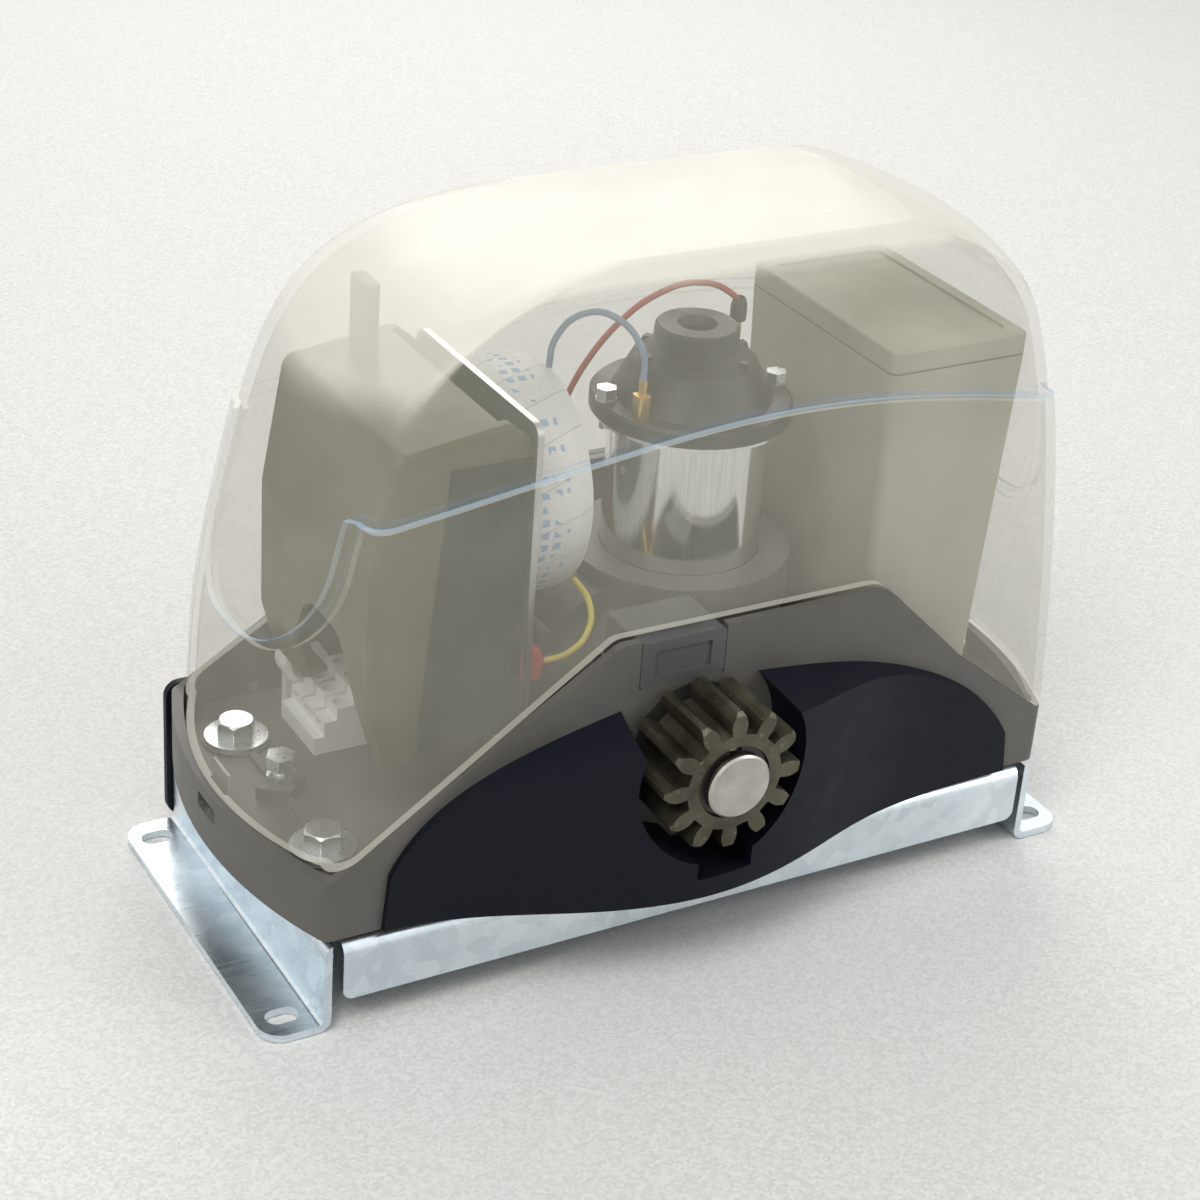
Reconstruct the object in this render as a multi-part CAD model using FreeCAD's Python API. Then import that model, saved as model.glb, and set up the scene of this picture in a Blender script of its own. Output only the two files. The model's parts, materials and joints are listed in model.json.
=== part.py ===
import FreeCAD, Part
import math
import os
from FreeCAD import Vector

# Sliding gate motor on a bent sheet base plate: a casing with the worm gearbox and an upright motor,
# the electrics on its trays, and a lift-off cover.
# Millimetres.  The origin is the middle of the base plate's underside, X runs along the gate,
# -Y faces the gate and its rack, and Z is up.

# ---- driving dimensions -------------------------------------------------------------------------

# base plate
SHEET = 3.0
PLATE_HEIGHT = 36.0
PLATE_HALF_X = 152.0
PLATE_HALF_Y = 72.0
FOOT_REACH = 21.4
FOOT_CORNER = 9.0
BEND = 2.0
SKIRT_HALF_X = PLATE_HALF_X - 6.7
SKIRT_DROP = 23.6
SKIRT_OUTSET = 1.2
ANCHOR_X = PLATE_HALF_X + 11.0
ANCHOR_Y = PLATE_HALF_Y - 11.0
ANCHOR_WIDTH = 8.5
ANCHOR_LENGTH = 12.5

# casing
CASE_WALL = 3.5
CASE_GAP = 2.0
CASE_BOW = 15.0
CASE_CORNER = 5.0
RIM_Z = 62.0
FLOOR_Z = 53.5
BROW_Z = 131.0
BROW_LEFT = -42.0
BROW_RIGHT = 70.0

# output shaft and pinion
SHAFT_X = -11.0
SHAFT_Z = 86.45
SHAFT_R = 12.5
PINION_MODULE = 4.0
PINION_TEETH = 12
PINION_WIDTH = 28.9
PINION_FACE_Y = -(PLATE_HALF_Y + 31.2)
SHAFT_NOSE = 3.8
PRESSURE_ANGLE = math.radians(20.0)

# worm drive
WORM_MODULE = 1.25
WHEEL_TEETH = 44
WHEEL_WIDTH = 14.0
WORM_PITCH_R = 5.5
WORM_LENGTH = 34.0
MOTOR_Y = -2.0
TOOTH_CLEAR = 0.18

# motor
CAN_R = 30.0
CAN_WALL = 2.0
CAN_BOTTOM = 118.0
CAN_TOP = 182.0
COLLAR_R = CAN_R + 12.0
COLLAR_TOP = 127.5
ROTOR_R = 4.0
CAP_FLANGE_R = CAN_R + 7.5
CAP_FLANGE = 6.0
CAP_TOP = 215.0
CAP_HUB_R = 16.0

# release clutch
RELEASE_X = -75.0
RELEASE_Y = 2.0
RELEASE_TRAVEL = 5.0

# electrics
BATTERY_X = (76.0, 136.0)
BATTERY_Y = (-50.0, 46.0)
BATTERY_TOP = 214.0
BOX_X = (-123.0, -64.0)
BOX_Y = (-39.0, 55.0)
BOX_Z = (80.0, 206.0)
BOX_WALL = 2.4
BOARD_THICK = 1.6
COIL_R = 44.0
COIL_WIDTH = 30.0
COIL_Y = 12.5
COIL_Z = 160.0

# cover
COVER_WALL = 3.0
COVER_STEP = 1.8
COVER_CORNER = 11.0
COVER_GAP = 0.4

# clearances
RUNNING_FIT = 0.04
SEAT_GAP = 0.3
THREAD_GAP = 0.05

# worked out from the sizes above
DECK_Z = PLATE_HEIGHT
CASE_Z = PLATE_HEIGHT + CASE_GAP
CASE_HALF_X = PLATE_HALF_X
CASE_HALF_Y = PLATE_HALF_Y
CENTRE_DISTANCE = WORM_MODULE * WHEEL_TEETH / 2 + WORM_PITCH_R
MOTOR_X = SHAFT_X + CENTRE_DISTANCE
FRONT_Y = -CASE_HALF_Y

# ---- shape helpers ------------------------------------------------------------------------------

PLANES = {
    "xy": (lambda u, v, w: Vector(u, v, w), Vector(0, 0, 1)),
    "xz": (lambda u, v, w: Vector(u, w, v), Vector(0, 1, 0)),
    "yz": (lambda u, v, w: Vector(w, u, v), Vector(1, 0, 0)),
}
X_AXIS = Vector(1, 0, 0)
Y_AXIS = Vector(0, 1, 0)
Z_AXIS = Vector(0, 0, 1)


def outline(plane, corners, level):
    """A closed wire through (u, v) or (u, v, radius) corners on a plane at the given level."""
    place = PLANES[plane][0]
    spots = []
    for index, corner in enumerate(corners):
        here = Vector(corner[0], corner[1], 0)
        radius = corner[2] if len(corner) > 2 else 0.0
        if radius == 0:
            spots.append((here, None, here))
            continue
        last = corners[index - 1]
        following = corners[(index + 1) % len(corners)]
        to_last = (Vector(last[0], last[1], 0) - here).normalize()
        to_next = (Vector(following[0], following[1], 0) - here).normalize()
        half_angle = to_last.getAngle(to_next) / 2
        reach = radius / math.tan(half_angle)
        inward = (to_last + to_next).normalize()
        middle = here + inward * (radius / math.sin(half_angle) - radius)
        spots.append((here + to_last * reach, middle, here + to_next * reach))
    edges = []
    for index, (start, middle, end) in enumerate(spots):
        if middle is not None:
            arc = [place(p.x, p.y, level) for p in (start, middle, end)]
            edges.append(Part.Arc(*arc).toShape())
        onward = spots[(index + 1) % len(spots)][0]
        if (onward - end).Length > 1e-4:
            line = [place(p.x, p.y, level) for p in (end, onward)]
            edges.append(Part.LineSegment(*line).toShape())
    return Part.Wire(edges)


def prism(plane, corners, start, stop):
    """The outline's face carried from one level of its plane's normal to another."""
    face = Part.Face(outline(plane, corners, start))
    return face.extrude(PLANES[plane][1] * (stop - start))


def slab(plane, u_range, v_range, levels, radius=0.0):
    """A block with its four corners along the plane's normal rounded."""
    u0, u1 = u_range
    v0, v1 = v_range
    corners = [(u0, v0, radius), (u1, v0, radius), (u1, v1, radius), (u0, v1, radius)]
    return prism(plane, corners, levels[0], levels[1])


def rod(radius, start, stop, axis, centre):
    """A cylinder along one axis; centre gives its other two coordinates in x, y, z order."""
    if axis == "x":
        return Part.makeCylinder(radius, stop - start, Vector(start, centre[0], centre[1]), X_AXIS)
    if axis == "y":
        return Part.makeCylinder(radius, stop - start, Vector(centre[0], start, centre[1]), Y_AXIS)
    return Part.makeCylinder(radius, stop - start, Vector(centre[0], centre[1], start), Z_AXIS)


def ring(outer, inner, start, stop, axis, centre):
    """A plain ring or washer."""
    return rod(outer, start, stop, axis, centre).cut(rod(inner, start - 1, stop + 1, axis, centre))


def hexagon(flats, start, stop, axis, centre):
    """A six-sided bar, its size measured across the flats."""
    plane = {"x": "yz", "y": "xz", "z": "xy"}[axis]
    reach = flats / math.sqrt(3.0)
    turns = [math.radians(60 * step) for step in range(6)]
    corners = [(centre[0] + reach * math.cos(a), centre[1] + reach * math.sin(a)) for a in turns]
    return prism(plane, corners, start, stop)


def lathe(profile, centre, axis):
    """A body of revolution from (radius, along) points; axis is "y" or "z"."""
    if axis == "z":
        points = [Vector(centre[0] + r, centre[1], a) for r, a in profile]
        face = Part.Face(Part.makePolygon(points + points[:1]))
        return face.revolve(Vector(centre[0], centre[1], 0), Z_AXIS, 360)
    points = [Vector(centre[0] + r, a, centre[1]) for r, a in profile]
    face = Part.Face(Part.makePolygon(points + points[:1]))
    return face.revolve(Vector(centre[0], 0, centre[1]), Y_AXIS, 360)


def fuse(*shapes):
    """One solid from shapes that meet."""
    return shapes[0].multiFuse(list(shapes[1:])).removeSplitter()


def cut(shape, *tools):
    """The shape with every tool taken out of it."""
    return shape.cut(list(tools))


def edges_where(shape, test):
    """The shape's edges whose two ends and middle all pass a test on their position."""
    found = []
    for edge in shape.Edges:
        ends = [vertex.Point for vertex in edge.Vertexes]
        first, last = edge.ParameterRange
        ends.append(edge.valueAt((first + last) / 2))
        if all(test(point) for point in ends):
            found.append(edge)
    return found


def mirrored(shape, normal):
    """The shape's mirror image across a plane through the origin."""
    return shape.mirror(Vector(0, 0, 0), normal)


def four_corners(half_x, half_y):
    """The four (x, y) places of a pattern that is even about the origin."""
    return [(sx * half_x, sy * half_y) for sx in (-1, 1) for sy in (-1, 1)]


def around(count, radius, centre, first=0.0):
    """Places (u, v) spaced evenly on a circle."""
    turns = [first + 2 * math.pi * step / count for step in range(count)]
    return [(centre[0] + radius * math.cos(a), centre[1] + radius * math.sin(a)) for a in turns]


# ---- base plate and its fixings -----------------------------------------------------------------

BOLT_X = PLATE_HALF_X - 13.0
BOLT_Y = PLATE_HALF_Y - 32.0
BOLT_R = 4.0
BOLT_FLATS = 13.0
BOLT_HEAD = 6.5
WASHER_R = 12.0
WASHER_THICK = 1.6
PAD_R = 13.0
PAD_TOP = FLOOR_Z + 0.8
NUT_HEIGHT = 6.5
LEVEL_X = PLATE_HALF_X - 14.0
LEVEL_BOSS_TOP = 58.0
LEVEL_NUT = 4.0
LEVEL_HEAD_Z = 64.5


def base_plate():
    """Bent sheet: a deck on two flanges with feet turned out, and a skirt bent down at each side."""
    foot_x = PLATE_HALF_X + FOOT_REACH
    inner_x = PLATE_HALF_X - SHEET
    under_deck = DECK_Z - SHEET
    outer_bend = BEND + SHEET
    section = [
        (-foot_x, 0), (-inner_x, 0, outer_bend), (-inner_x, under_deck, BEND),
        (inner_x, under_deck, BEND), (inner_x, 0, outer_bend), (foot_x, 0),
        (foot_x, SHEET), (PLATE_HALF_X, SHEET, BEND), (PLATE_HALF_X, DECK_Z, outer_bend),
        (-PLATE_HALF_X, DECK_Z, outer_bend), (-PLATE_HALF_X, SHEET, BEND), (-foot_x, SHEET),
    ]
    hat = prism("xz", section, -PLATE_HALF_Y, PLATE_HALF_Y)
    tips = edges_where(hat, lambda p: abs(abs(p.x) - foot_x) < 0.1 and abs(abs(p.y) - PLATE_HALF_Y) < 0.1)
    hat = hat.makeFillet(FOOT_CORNER, tips)
    skirt_y = PLATE_HALF_Y + SKIRT_OUTSET
    join_y = PLATE_HALF_Y - 2 * outer_bend
    for side in (-1, 1):
        relief = slab("xy", (-inner_x, inner_x), sorted((side * join_y, side * 2 * skirt_y)),
                      (under_deck - 1, DECK_Z + 1))
        hat = hat.cut(relief)
    skirt_bottom = DECK_Z - SKIRT_DROP
    section = [
        (-join_y, DECK_Z), (-skirt_y, DECK_Z, outer_bend), (-skirt_y, skirt_bottom),
        (-skirt_y + SHEET, skirt_bottom), (-skirt_y + SHEET, under_deck, BEND), (-join_y, under_deck),
    ]
    skirt = prism("yz", section, -SKIRT_HALF_X, SKIRT_HALF_X)
    corners = edges_where(skirt, lambda p: abs(p.z - skirt_bottom) < 0.1
                          and abs(abs(p.x) - SKIRT_HALF_X) < 0.1)
    skirt = skirt.makeFillet(2 * BEND, corners)
    plate = fuse(hat, skirt, mirrored(skirt, Y_AXIS))
    holes = []
    for x, y in four_corners(ANCHOR_X, ANCHOR_Y):
        half_long = ANCHOR_LENGTH / 2
        half_wide = ANCHOR_WIDTH / 2
        holes.append(slab("xy", (x - half_long, x + half_long), (y - half_wide, y + half_wide),
                          (-1, SHEET + 1), half_wide))
    for x, y in four_corners(BOLT_X, BOLT_Y):
        holes.append(rod(BOLT_R + 0.5, under_deck - 1, DECK_Z + 1, "z", (x, y)))
    holes.append(slab("xy", (-120, -50), (-22, 40), (under_deck - 1, DECK_Z + 1), 10))
    holes.append(slab("xy", (60, 120), (-22, 22), (under_deck - 1, DECK_Z + 1), 10))
    return cut(plate, *holes)


def holddown_bolts():
    """Four hexagon screws that clamp the casing to the deck."""
    head_z = PAD_TOP + WASHER_THICK
    tip_z = DECK_Z - SHEET - NUT_HEIGHT - 3
    bolts = []
    for place in four_corners(BOLT_X, BOLT_Y):
        head = hexagon(BOLT_FLATS, head_z, head_z + BOLT_HEAD, "z", place)
        crown = lathe([(0, head_z - 1), (BOLT_FLATS / 2 + 0.9, head_z - 1),
                       (BOLT_FLATS / 2 + 0.9, head_z + BOLT_HEAD - 0.9),
                       (BOLT_FLATS / 2 - 0.3, head_z + BOLT_HEAD), (0, head_z + BOLT_HEAD)], place, "z")
        bolts.append(fuse(head.common(crown), rod(BOLT_R, tip_z, head_z, "z", place)))
    return bolts


def holddown_washers():
    """Large washers under the four screw heads."""
    return [ring(WASHER_R, BOLT_R + 0.3, PAD_TOP, PAD_TOP + WASHER_THICK, "z", place)
            for place in four_corners(BOLT_X, BOLT_Y)]


def holddown_nuts():
    """Nuts against the underside of the deck."""
    top = DECK_Z - SHEET
    nuts = []
    for place in four_corners(BOLT_X, BOLT_Y):
        bore = rod(BOLT_R + THREAD_GAP, top - NUT_HEIGHT - 1, top + 1, "z", place)
        nuts.append(hexagon(BOLT_FLATS, top - NUT_HEIGHT, top, "z", place).cut(bore))
    return nuts


def levelling_screws():
    """A hexagon screw through each end of the casing that bears on the deck to level it."""
    screws = []
    for side in (-1, 1):
        place = (side * LEVEL_X, 0)
        head = hexagon(10, LEVEL_HEAD_Z, LEVEL_HEAD_Z + 5, "z", place)
        screws.append(fuse(head, rod(3, DECK_Z, LEVEL_HEAD_Z, "z", place)))
    return screws


def levelling_nuts():
    """Lock nuts that hold the levelling screws against the casing."""
    nuts = []
    for side in (-1, 1):
        place = (side * LEVEL_X, 0)
        nut = hexagon(10, LEVEL_BOSS_TOP, LEVEL_BOSS_TOP + LEVEL_NUT, "z", place)
        nuts.append(nut.cut(rod(3 + THREAD_GAP, LEVEL_BOSS_TOP - 1, LEVEL_BOSS_TOP + 9, "z", place)))
    return nuts


# ---- casing -------------------------------------------------------------------------------------

WHEEL_ROOM_R = WORM_MODULE * WHEEL_TEETH / 2 + 3.5
DRUM_R = WHEEL_ROOM_R + 4.0
NOSE_R = SHAFT_R + 15.5
WHEEL_ROOM_FRONT = -12.0
DRUM_BACK = 26.0
WORM_ROOM_R = WORM_PITCH_R + 5.0
FRONT_BEARING = (2 * SHAFT_R, 2 * SHAFT_R + 22.0, 12.0)
REAR_BEARING = (2 * SHAFT_R - 5.0, 2 * SHAFT_R + 17.0, 12.0)
LOW_BEARING = (8.0, 16.0, 5.0)
HIGH_BEARING = (8.0, 22.0, 7.0)
SEAL_WIDTH = 6.0
LOW_BEARING_Z = 57.0
HIGH_BEARING_Z = CAN_BOTTOM - 10.0
SENSOR_X = (-34.0, 1.0)
SENSOR_Z = 112.0
TAB_HALF = 8.0
TAB_DEPTH = 15.0
TAB_THICK = 2.4
RELEASE_BOSS_R = 14.0
FORK_Z = 60.0
FORK_SLOT_Y = (10.0, 21.5)
DRUM_SCREW_COUNT = 6
CABLE_HOLE_R = 10.5
CABLE_HOLE_PLACE = (-65.0, 27.0)
REAR_SCREW_Z = RIM_Z - 5.0
REAR_SCREWS = tuple((x, REAR_SCREW_Z) for x in (-120.0, -40.0, 40.0, 120.0))
DRUM_SCREW_RING = DRUM_R - 1.0
DRUM_LOBE_R = 4.5


def barrel(half_x, half_y, bow, bottom, top, corner=0.0):
    """An upright block, flat front and back, whose two ends bow outwards."""
    left = [Vector(-half_x, half_y, bottom), Vector(-half_x - bow, 0, bottom),
            Vector(-half_x, -half_y, bottom)]
    right = [Vector(half_x, -half_y, bottom), Vector(half_x + bow, 0, bottom),
             Vector(half_x, half_y, bottom)]
    edges = [Part.Arc(*left).toShape(), Part.LineSegment(left[2], right[0]).toShape(),
             Part.Arc(*right).toShape(), Part.LineSegment(right[2], left[0]).toShape()]
    body = Part.Face(Part.Wire(edges)).extrude(Vector(0, 0, top - bottom))
    if corner:
        upright = edges_where(body, lambda p: abs(abs(p.y) - half_y) < 0.1
                              and abs(abs(p.x) - half_x) < 0.1)
        body = body.makeFillet(corner, upright)
    return body


def brow_outline(rise=0.0):
    """The casing's outline seen from the front: low rims at the ends and a brow over the gearbox."""
    shoulder = (RIM_Z + BROW_Z) / 2
    return [
        (-200, RIM_Z + rise), (-CASE_HALF_X + 2, RIM_Z + rise, 6), (-88, shoulder + 5 + rise, 60),
        (BROW_LEFT, BROW_Z + rise, 9), (BROW_RIGHT, BROW_Z + rise, 14),
        (108, shoulder - 2 + rise, 60), (CASE_HALF_X - 2, RIM_Z + rise, 6), (200, RIM_Z + rise),
    ]


def drum_screw_places():
    """The screws round the back of the gearbox."""
    return around(DRUM_SCREW_COUNT, DRUM_SCREW_RING, (SHAFT_X, SHAFT_Z), math.radians(30))


def drum(start, stop, gap=0.0):
    """The gearbox's round wall with a lobe for each of its cover's screws."""
    lobes = [rod(DRUM_LOBE_R + gap, start, stop, "y", place) for place in drum_screw_places()]
    return fuse(rod(DRUM_R + gap, start, stop, "y", (SHAFT_X, SHAFT_Z)), *lobes)


def casing():
    """Die-cast casing: end trays, front and back walls with a brow, and the worm gearbox."""
    foot = [(200, CASE_Z - 1), (-200, CASE_Z - 1)]
    reach = CASE_HALF_Y + 10
    below_brow = prism("xz", brow_outline() + foot, -reach, reach)
    shell = barrel(CASE_HALF_X, CASE_HALF_Y, CASE_BOW, CASE_Z, BROW_Z + 5, CASE_CORNER)
    shell = shell.common(below_brow)
    inner_x = CASE_HALF_X - CASE_WALL
    inner_y = CASE_HALF_Y - CASE_WALL
    shell = cut(
        shell,
        barrel(inner_x, inner_y, CASE_BOW, FLOOR_Z, BROW_Z + 9),
        barrel(inner_x, inner_y, CASE_BOW, CASE_Z - 1, FLOOR_Z - CASE_WALL),
    )
    floor_bottom = FLOOR_Z - CASE_WALL
    added = [
        drum(-17, DRUM_BACK),
        rod(NOSE_R, FRONT_Y + 1, -16, "y", (SHAFT_X, SHAFT_Z)),
        rod(WORM_ROOM_R + 9, floor_bottom, 104, "z", (MOTOR_X, MOTOR_Y)),
        rod(COLLAR_R, 108, COLLAR_TOP, "z", (MOTOR_X, MOTOR_Y)),
        Part.makeCone(WORM_ROOM_R + 9, COLLAR_R, 18, Vector(MOTOR_X, MOTOR_Y, 90), Z_AXIS),
        slab("xy", (-36, 40), (-56, DRUM_BACK - 6), (floor_bottom, 78), 6),
        slab("xy", SENSOR_X, (FRONT_Y + 2, -40), (100, SENSOR_Z)),
        slab("xz", (-60, -30), (floor_bottom, 100), (-22, -18)),
        slab("xz", (40, 72), (floor_bottom, 100), (-4, 0)),
    ]
    for place in four_corners(BOLT_X, BOLT_Y):
        added.append(rod(PAD_R, DECK_Z, PAD_TOP, "z", place))
        reach_y = math.copysign(inner_y + 1, place[1])
        added.append(slab("xy", (place[0] - 1.5, place[0] + 1.5), sorted((place[1], reach_y)),
                          (CASE_Z + 2, floor_bottom + 1)))
    for side in (-1, 1):
        diamond = [(side * LEVEL_X - 11, 0, 2), (side * LEVEL_X, -8, 2), (side * LEVEL_X + 11, 0, 2),
                   (side * LEVEL_X, 8, 2)]
        added.append(prism("xy", diamond, floor_bottom - 4, LEVEL_BOSS_TOP))
        rib = slab("xy", (side * LEVEL_X - 1.5, side * LEVEL_X + 1.5), (PAD_R - BOLT_Y, BOLT_Y - PAD_R),
                   (floor_bottom, FLOOR_Z + 1.6))
        added.append(rib)
    added.append(rod(RELEASE_BOSS_R, floor_bottom, FORK_Z + 7, "z", (RELEASE_X, RELEASE_Y)))
    body = fuse(shell, *added)
    return cut(body, *casing_cuts(floor_bottom))


def casing_cuts(floor_bottom):
    """Everything bored or cut out of the casing."""
    bore_r = FRONT_BEARING[1] / 2
    seat_back = FRONT_Y + SEAL_WIDTH + FRONT_BEARING[2]
    tools = [
        rod(bore_r, FRONT_Y - 5, seat_back, "y", (SHAFT_X, SHAFT_Z)),
        rod(SHAFT_R + 1.5, seat_back - 1, WHEEL_ROOM_FRONT + 1, "y", (SHAFT_X, SHAFT_Z)),
        rod(WHEEL_ROOM_R, WHEEL_ROOM_FRONT, DRUM_BACK + 1, "y", (SHAFT_X, SHAFT_Z)),
        rod(WORM_ROOM_R, LOW_BEARING_Z + LOW_BEARING[2], HIGH_BEARING_Z + 1, "z", (MOTOR_X, MOTOR_Y)),
        rod(LOW_BEARING[1] / 2, LOW_BEARING_Z, LOW_BEARING_Z + 6, "z", (MOTOR_X, MOTOR_Y)),
        rod(HIGH_BEARING[1] / 2, HIGH_BEARING_Z, CAN_BOTTOM + 1, "z", (MOTOR_X, MOTOR_Y)),
        rod(CAN_R + SEAT_GAP, CAN_BOTTOM, COLLAR_TOP + 1, "z", (MOTOR_X, MOTOR_Y)),
        slab("xy", (SENSOR_X[0], SENSOR_X[1]), (FRONT_Y - 1, -44), (SENSOR_Z, BROW_Z + 1)),
        slab("xz", (SHAFT_X - 34, SHAFT_X - 16), (FORK_Z - 0.6, FORK_Z + 6.6), FORK_SLOT_Y),
        drum(DRUM_BACK, DRUM_BACK + 30, SEAT_GAP),
        rod(CABLE_HOLE_R, floor_bottom - 1, FLOOR_Z + 1, "z", CABLE_HOLE_PLACE),
        rod(8 + SEAT_GAP, FORK_Z + 4, FORK_Z + 8, "z", (RELEASE_X, RELEASE_Y)),
        slab("xy", (RELEASE_X - 9, RELEASE_X + 20), (RELEASE_Y - 9, RELEASE_Y + 20),
             (FORK_Z - 1, FORK_Z + 4.1)),
    ]
    for place in four_corners(BOLT_X, BOLT_Y):
        tools.append(rod(BOLT_R + 0.5, DECK_Z - 1, PAD_TOP + 1, "z", place))
    for side in (-1, 1):
        tools.append(rod(3 + THREAD_GAP, floor_bottom - 9, LEVEL_BOSS_TOP + 1, "z",
                         (side * LEVEL_X, 0)))
        tab_x = sorted((side * (CASE_HALF_X + CASE_BOW - CASE_WALL - 1), side * (CASE_HALF_X + 30)))
        tools.append(slab("yz", (-TAB_HALF, TAB_HALF), (RIM_Z - TAB_DEPTH + 4, RIM_Z - 5),
                          tab_x, 1.5))
    for place in REAR_SCREWS:
        tools.append(rod(2 + THREAD_GAP, CASE_HALF_Y - CASE_WALL - 1, CASE_HALF_Y + 1, "y", place))
    for place in drum_screw_places():
        tools.append(rod(2 + THREAD_GAP, DRUM_BACK - 9, DRUM_BACK + 1, "y", place))
    return tools


def gearbox_cover():
    """Round cover at the back of the gearbox with the rear bearing's seat."""
    plate_top = DRUM_BACK + 4
    seat = REAR_BEARING[1] / 2
    boss_top = DRUM_BACK + 2 + REAR_BEARING[2] + 3
    body = fuse(drum(DRUM_BACK, plate_top),
                rod(seat + 4, DRUM_BACK, boss_top, "y", (SHAFT_X, SHAFT_Z)))
    tools = [rod(seat, DRUM_BACK - 1, boss_top - 3, "y", (SHAFT_X, SHAFT_Z))]
    for place in drum_screw_places():
        tools.append(rod(2 + 0.2, DRUM_BACK - 1, plate_top + 1, "y", place))
    return cut(body, *tools)


def gearbox_screws():
    """Socket-head screws round the gearbox cover."""
    head_y = DRUM_BACK + 4
    screws = []
    for place in drum_screw_places():
        head = rod(2.9, head_y, head_y + 3.5, "y", place)
        socket = hexagon(3, head_y + 1.5, head_y + 4, "y", place)
        screws.append(fuse(head, rod(2, DRUM_BACK - 8, head_y, "y", place)).cut(socket))
    return screws


def bearing(size, start, axis, centre):
    """A ball bearing drawn as its two races with a shield between them, as one solid."""
    bore, outside, width = size
    body = ring(outside / 2, bore / 2, start, start + width, axis, centre)
    land = (outside - bore) / 2 * 0.28
    groove = ring(outside / 2 - land, bore / 2 + land, start - 1, start + 0.5, axis, centre)
    back = ring(outside / 2 - land, bore / 2 + land, start + width - 0.5, start + width + 1, axis, centre)
    return cut(body, groove, back)


def front_bearing():
    """Bearing behind the pinion."""
    size = (FRONT_BEARING[0] + 2 * RUNNING_FIT, FRONT_BEARING[1], FRONT_BEARING[2])
    return bearing(size, FRONT_Y + SEAL_WIDTH, "y", (SHAFT_X, SHAFT_Z))


def rear_bearing():
    """Bearing in the gearbox cover."""
    size = (REAR_BEARING[0] + 2 * RUNNING_FIT, REAR_BEARING[1], REAR_BEARING[2])
    return bearing(size, DRUM_BACK + 2, "y", (SHAFT_X, SHAFT_Z))


def shaft_seal():
    """Lip seal pressed in outside the front bearing."""
    return ring(FRONT_BEARING[1] / 2, SHAFT_R + RUNNING_FIT, FRONT_Y + 0.2, FRONT_Y + SEAL_WIDTH, "y",
                (SHAFT_X, SHAFT_Z))


def rotor_bearings():
    """The worm shaft's two ball bearings in the casing and its bush in the end cap's hub."""
    fit = 2 * RUNNING_FIT
    low = (LOW_BEARING[0] + fit, LOW_BEARING[1], LOW_BEARING[2])
    high = (HIGH_BEARING[0] + fit, HIGH_BEARING[1], HIGH_BEARING[2])
    bush = ring(8.0, ROTOR_R + RUNNING_FIT, TOP_BUSH_Z, TOP_BUSH_Z + 8, "z", AXIS)
    return [bearing(low, LOW_BEARING_Z, "z", AXIS), bearing(high, HIGH_BEARING_Z, "z", AXIS), bush]


def limit_sensor():
    """Magnetic limit sensor in the notch over the pinion."""
    x0, x1 = SENSOR_X
    body = slab("xz", (x0 + SEAT_GAP, x1 - SEAT_GAP), (SENSOR_Z, BROW_Z - 1), (FRONT_Y, -46), 1.5)
    face = slab("xz", (x0 + 6, x1 - 6), (SENSOR_Z + 4, BROW_Z - 5), (FRONT_Y - 1, FRONT_Y + 1))
    return body.cut(face)


# ---- front panel --------------------------------------------------------------------------------

PANEL_WALL = 3.0
PANEL_LEFT = -131.0
PANEL_RIGHT = 136.0
PANEL_PROUD = 29.0
PANEL_EDGE = 2.4
PINION_ROOM_R = 35.0
PANEL_NOTCH_X = (-21.0, 2.0)
PANEL_NOTCH_Z = 46.0


def panel_wave(inset, depth, drop):
    """The panel's two-hump outline on one plane: straight sides and a long curved top."""
    level = FRONT_Y - depth
    left = PANEL_LEFT + inset
    right = PANEL_RIGHT - inset
    bottom = CASE_Z + inset
    heights = [(left + 2, 60), (-111, 81), (-80, 95.5), (-43, 104.5), (-8, 109.5), (26, 108),
               (62, 102.5), (96, 90), (122, 72), (right - 2, 56)]
    crest = Part.BSplineCurve()
    crest.interpolate([Vector(x, level, z - inset - drop) for x, z in heights])
    first = crest.StartPoint
    last = crest.EndPoint
    lines = [(last, Vector(right, level, bottom)),
             (Vector(right, level, bottom), Vector(left, level, bottom)),
             (Vector(left, level, bottom), first)]
    edges = [crest.toShape()] + [Part.LineSegment(a, b).toShape() for a, b in lines]
    return Part.Wire(edges)


def panel_mass(inset):
    """The panel's solid form: the wave, sloping down to the front, within a bulge seen from above."""
    wave = Part.makeLoft([panel_wave(inset, 0.0, 0.0), panel_wave(inset, PANEL_PROUD + 4, 7.0)],
                         True, True)
    plan = [(PANEL_LEFT - 3, PANEL_EDGE), (-92, 9), (-56, 22), (SHAFT_X, PANEL_PROUD), (30, 21),
            (68, 8.5), (104, 3.5), (PANEL_RIGHT + 3, PANEL_EDGE)]
    bulge = Part.BSplineCurve()
    bulge.interpolate([Vector(x, FRONT_Y - depth + inset, CASE_Z - 5) for x, depth in plan])
    start = bulge.StartPoint
    end = bulge.EndPoint
    back_left = Vector(start.x, FRONT_Y + 1, start.z)
    back_right = Vector(end.x, FRONT_Y + 1, end.z)
    lines = [(end, back_right), (back_right, back_left), (back_left, start)]
    edges = [bulge.toShape()] + [Part.LineSegment(a, b).toShape() for a, b in lines]
    column = Part.Face(Part.Wire(edges)).extrude(Vector(0, 0, 90))
    mass = wave.common(column)
    room = rod(PINION_ROOM_R + inset, FRONT_Y - 60, FRONT_Y + 5, "y", (SHAFT_X, SHAFT_Z))
    x0, x1 = PANEL_NOTCH_X
    notch = slab("xz", (x0 - inset, x1 + inset), (PANEL_NOTCH_Z - inset, SHAFT_Z),
                 (FRONT_Y - 60, FRONT_Y + 5))
    return cut(mass, room, notch)


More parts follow.
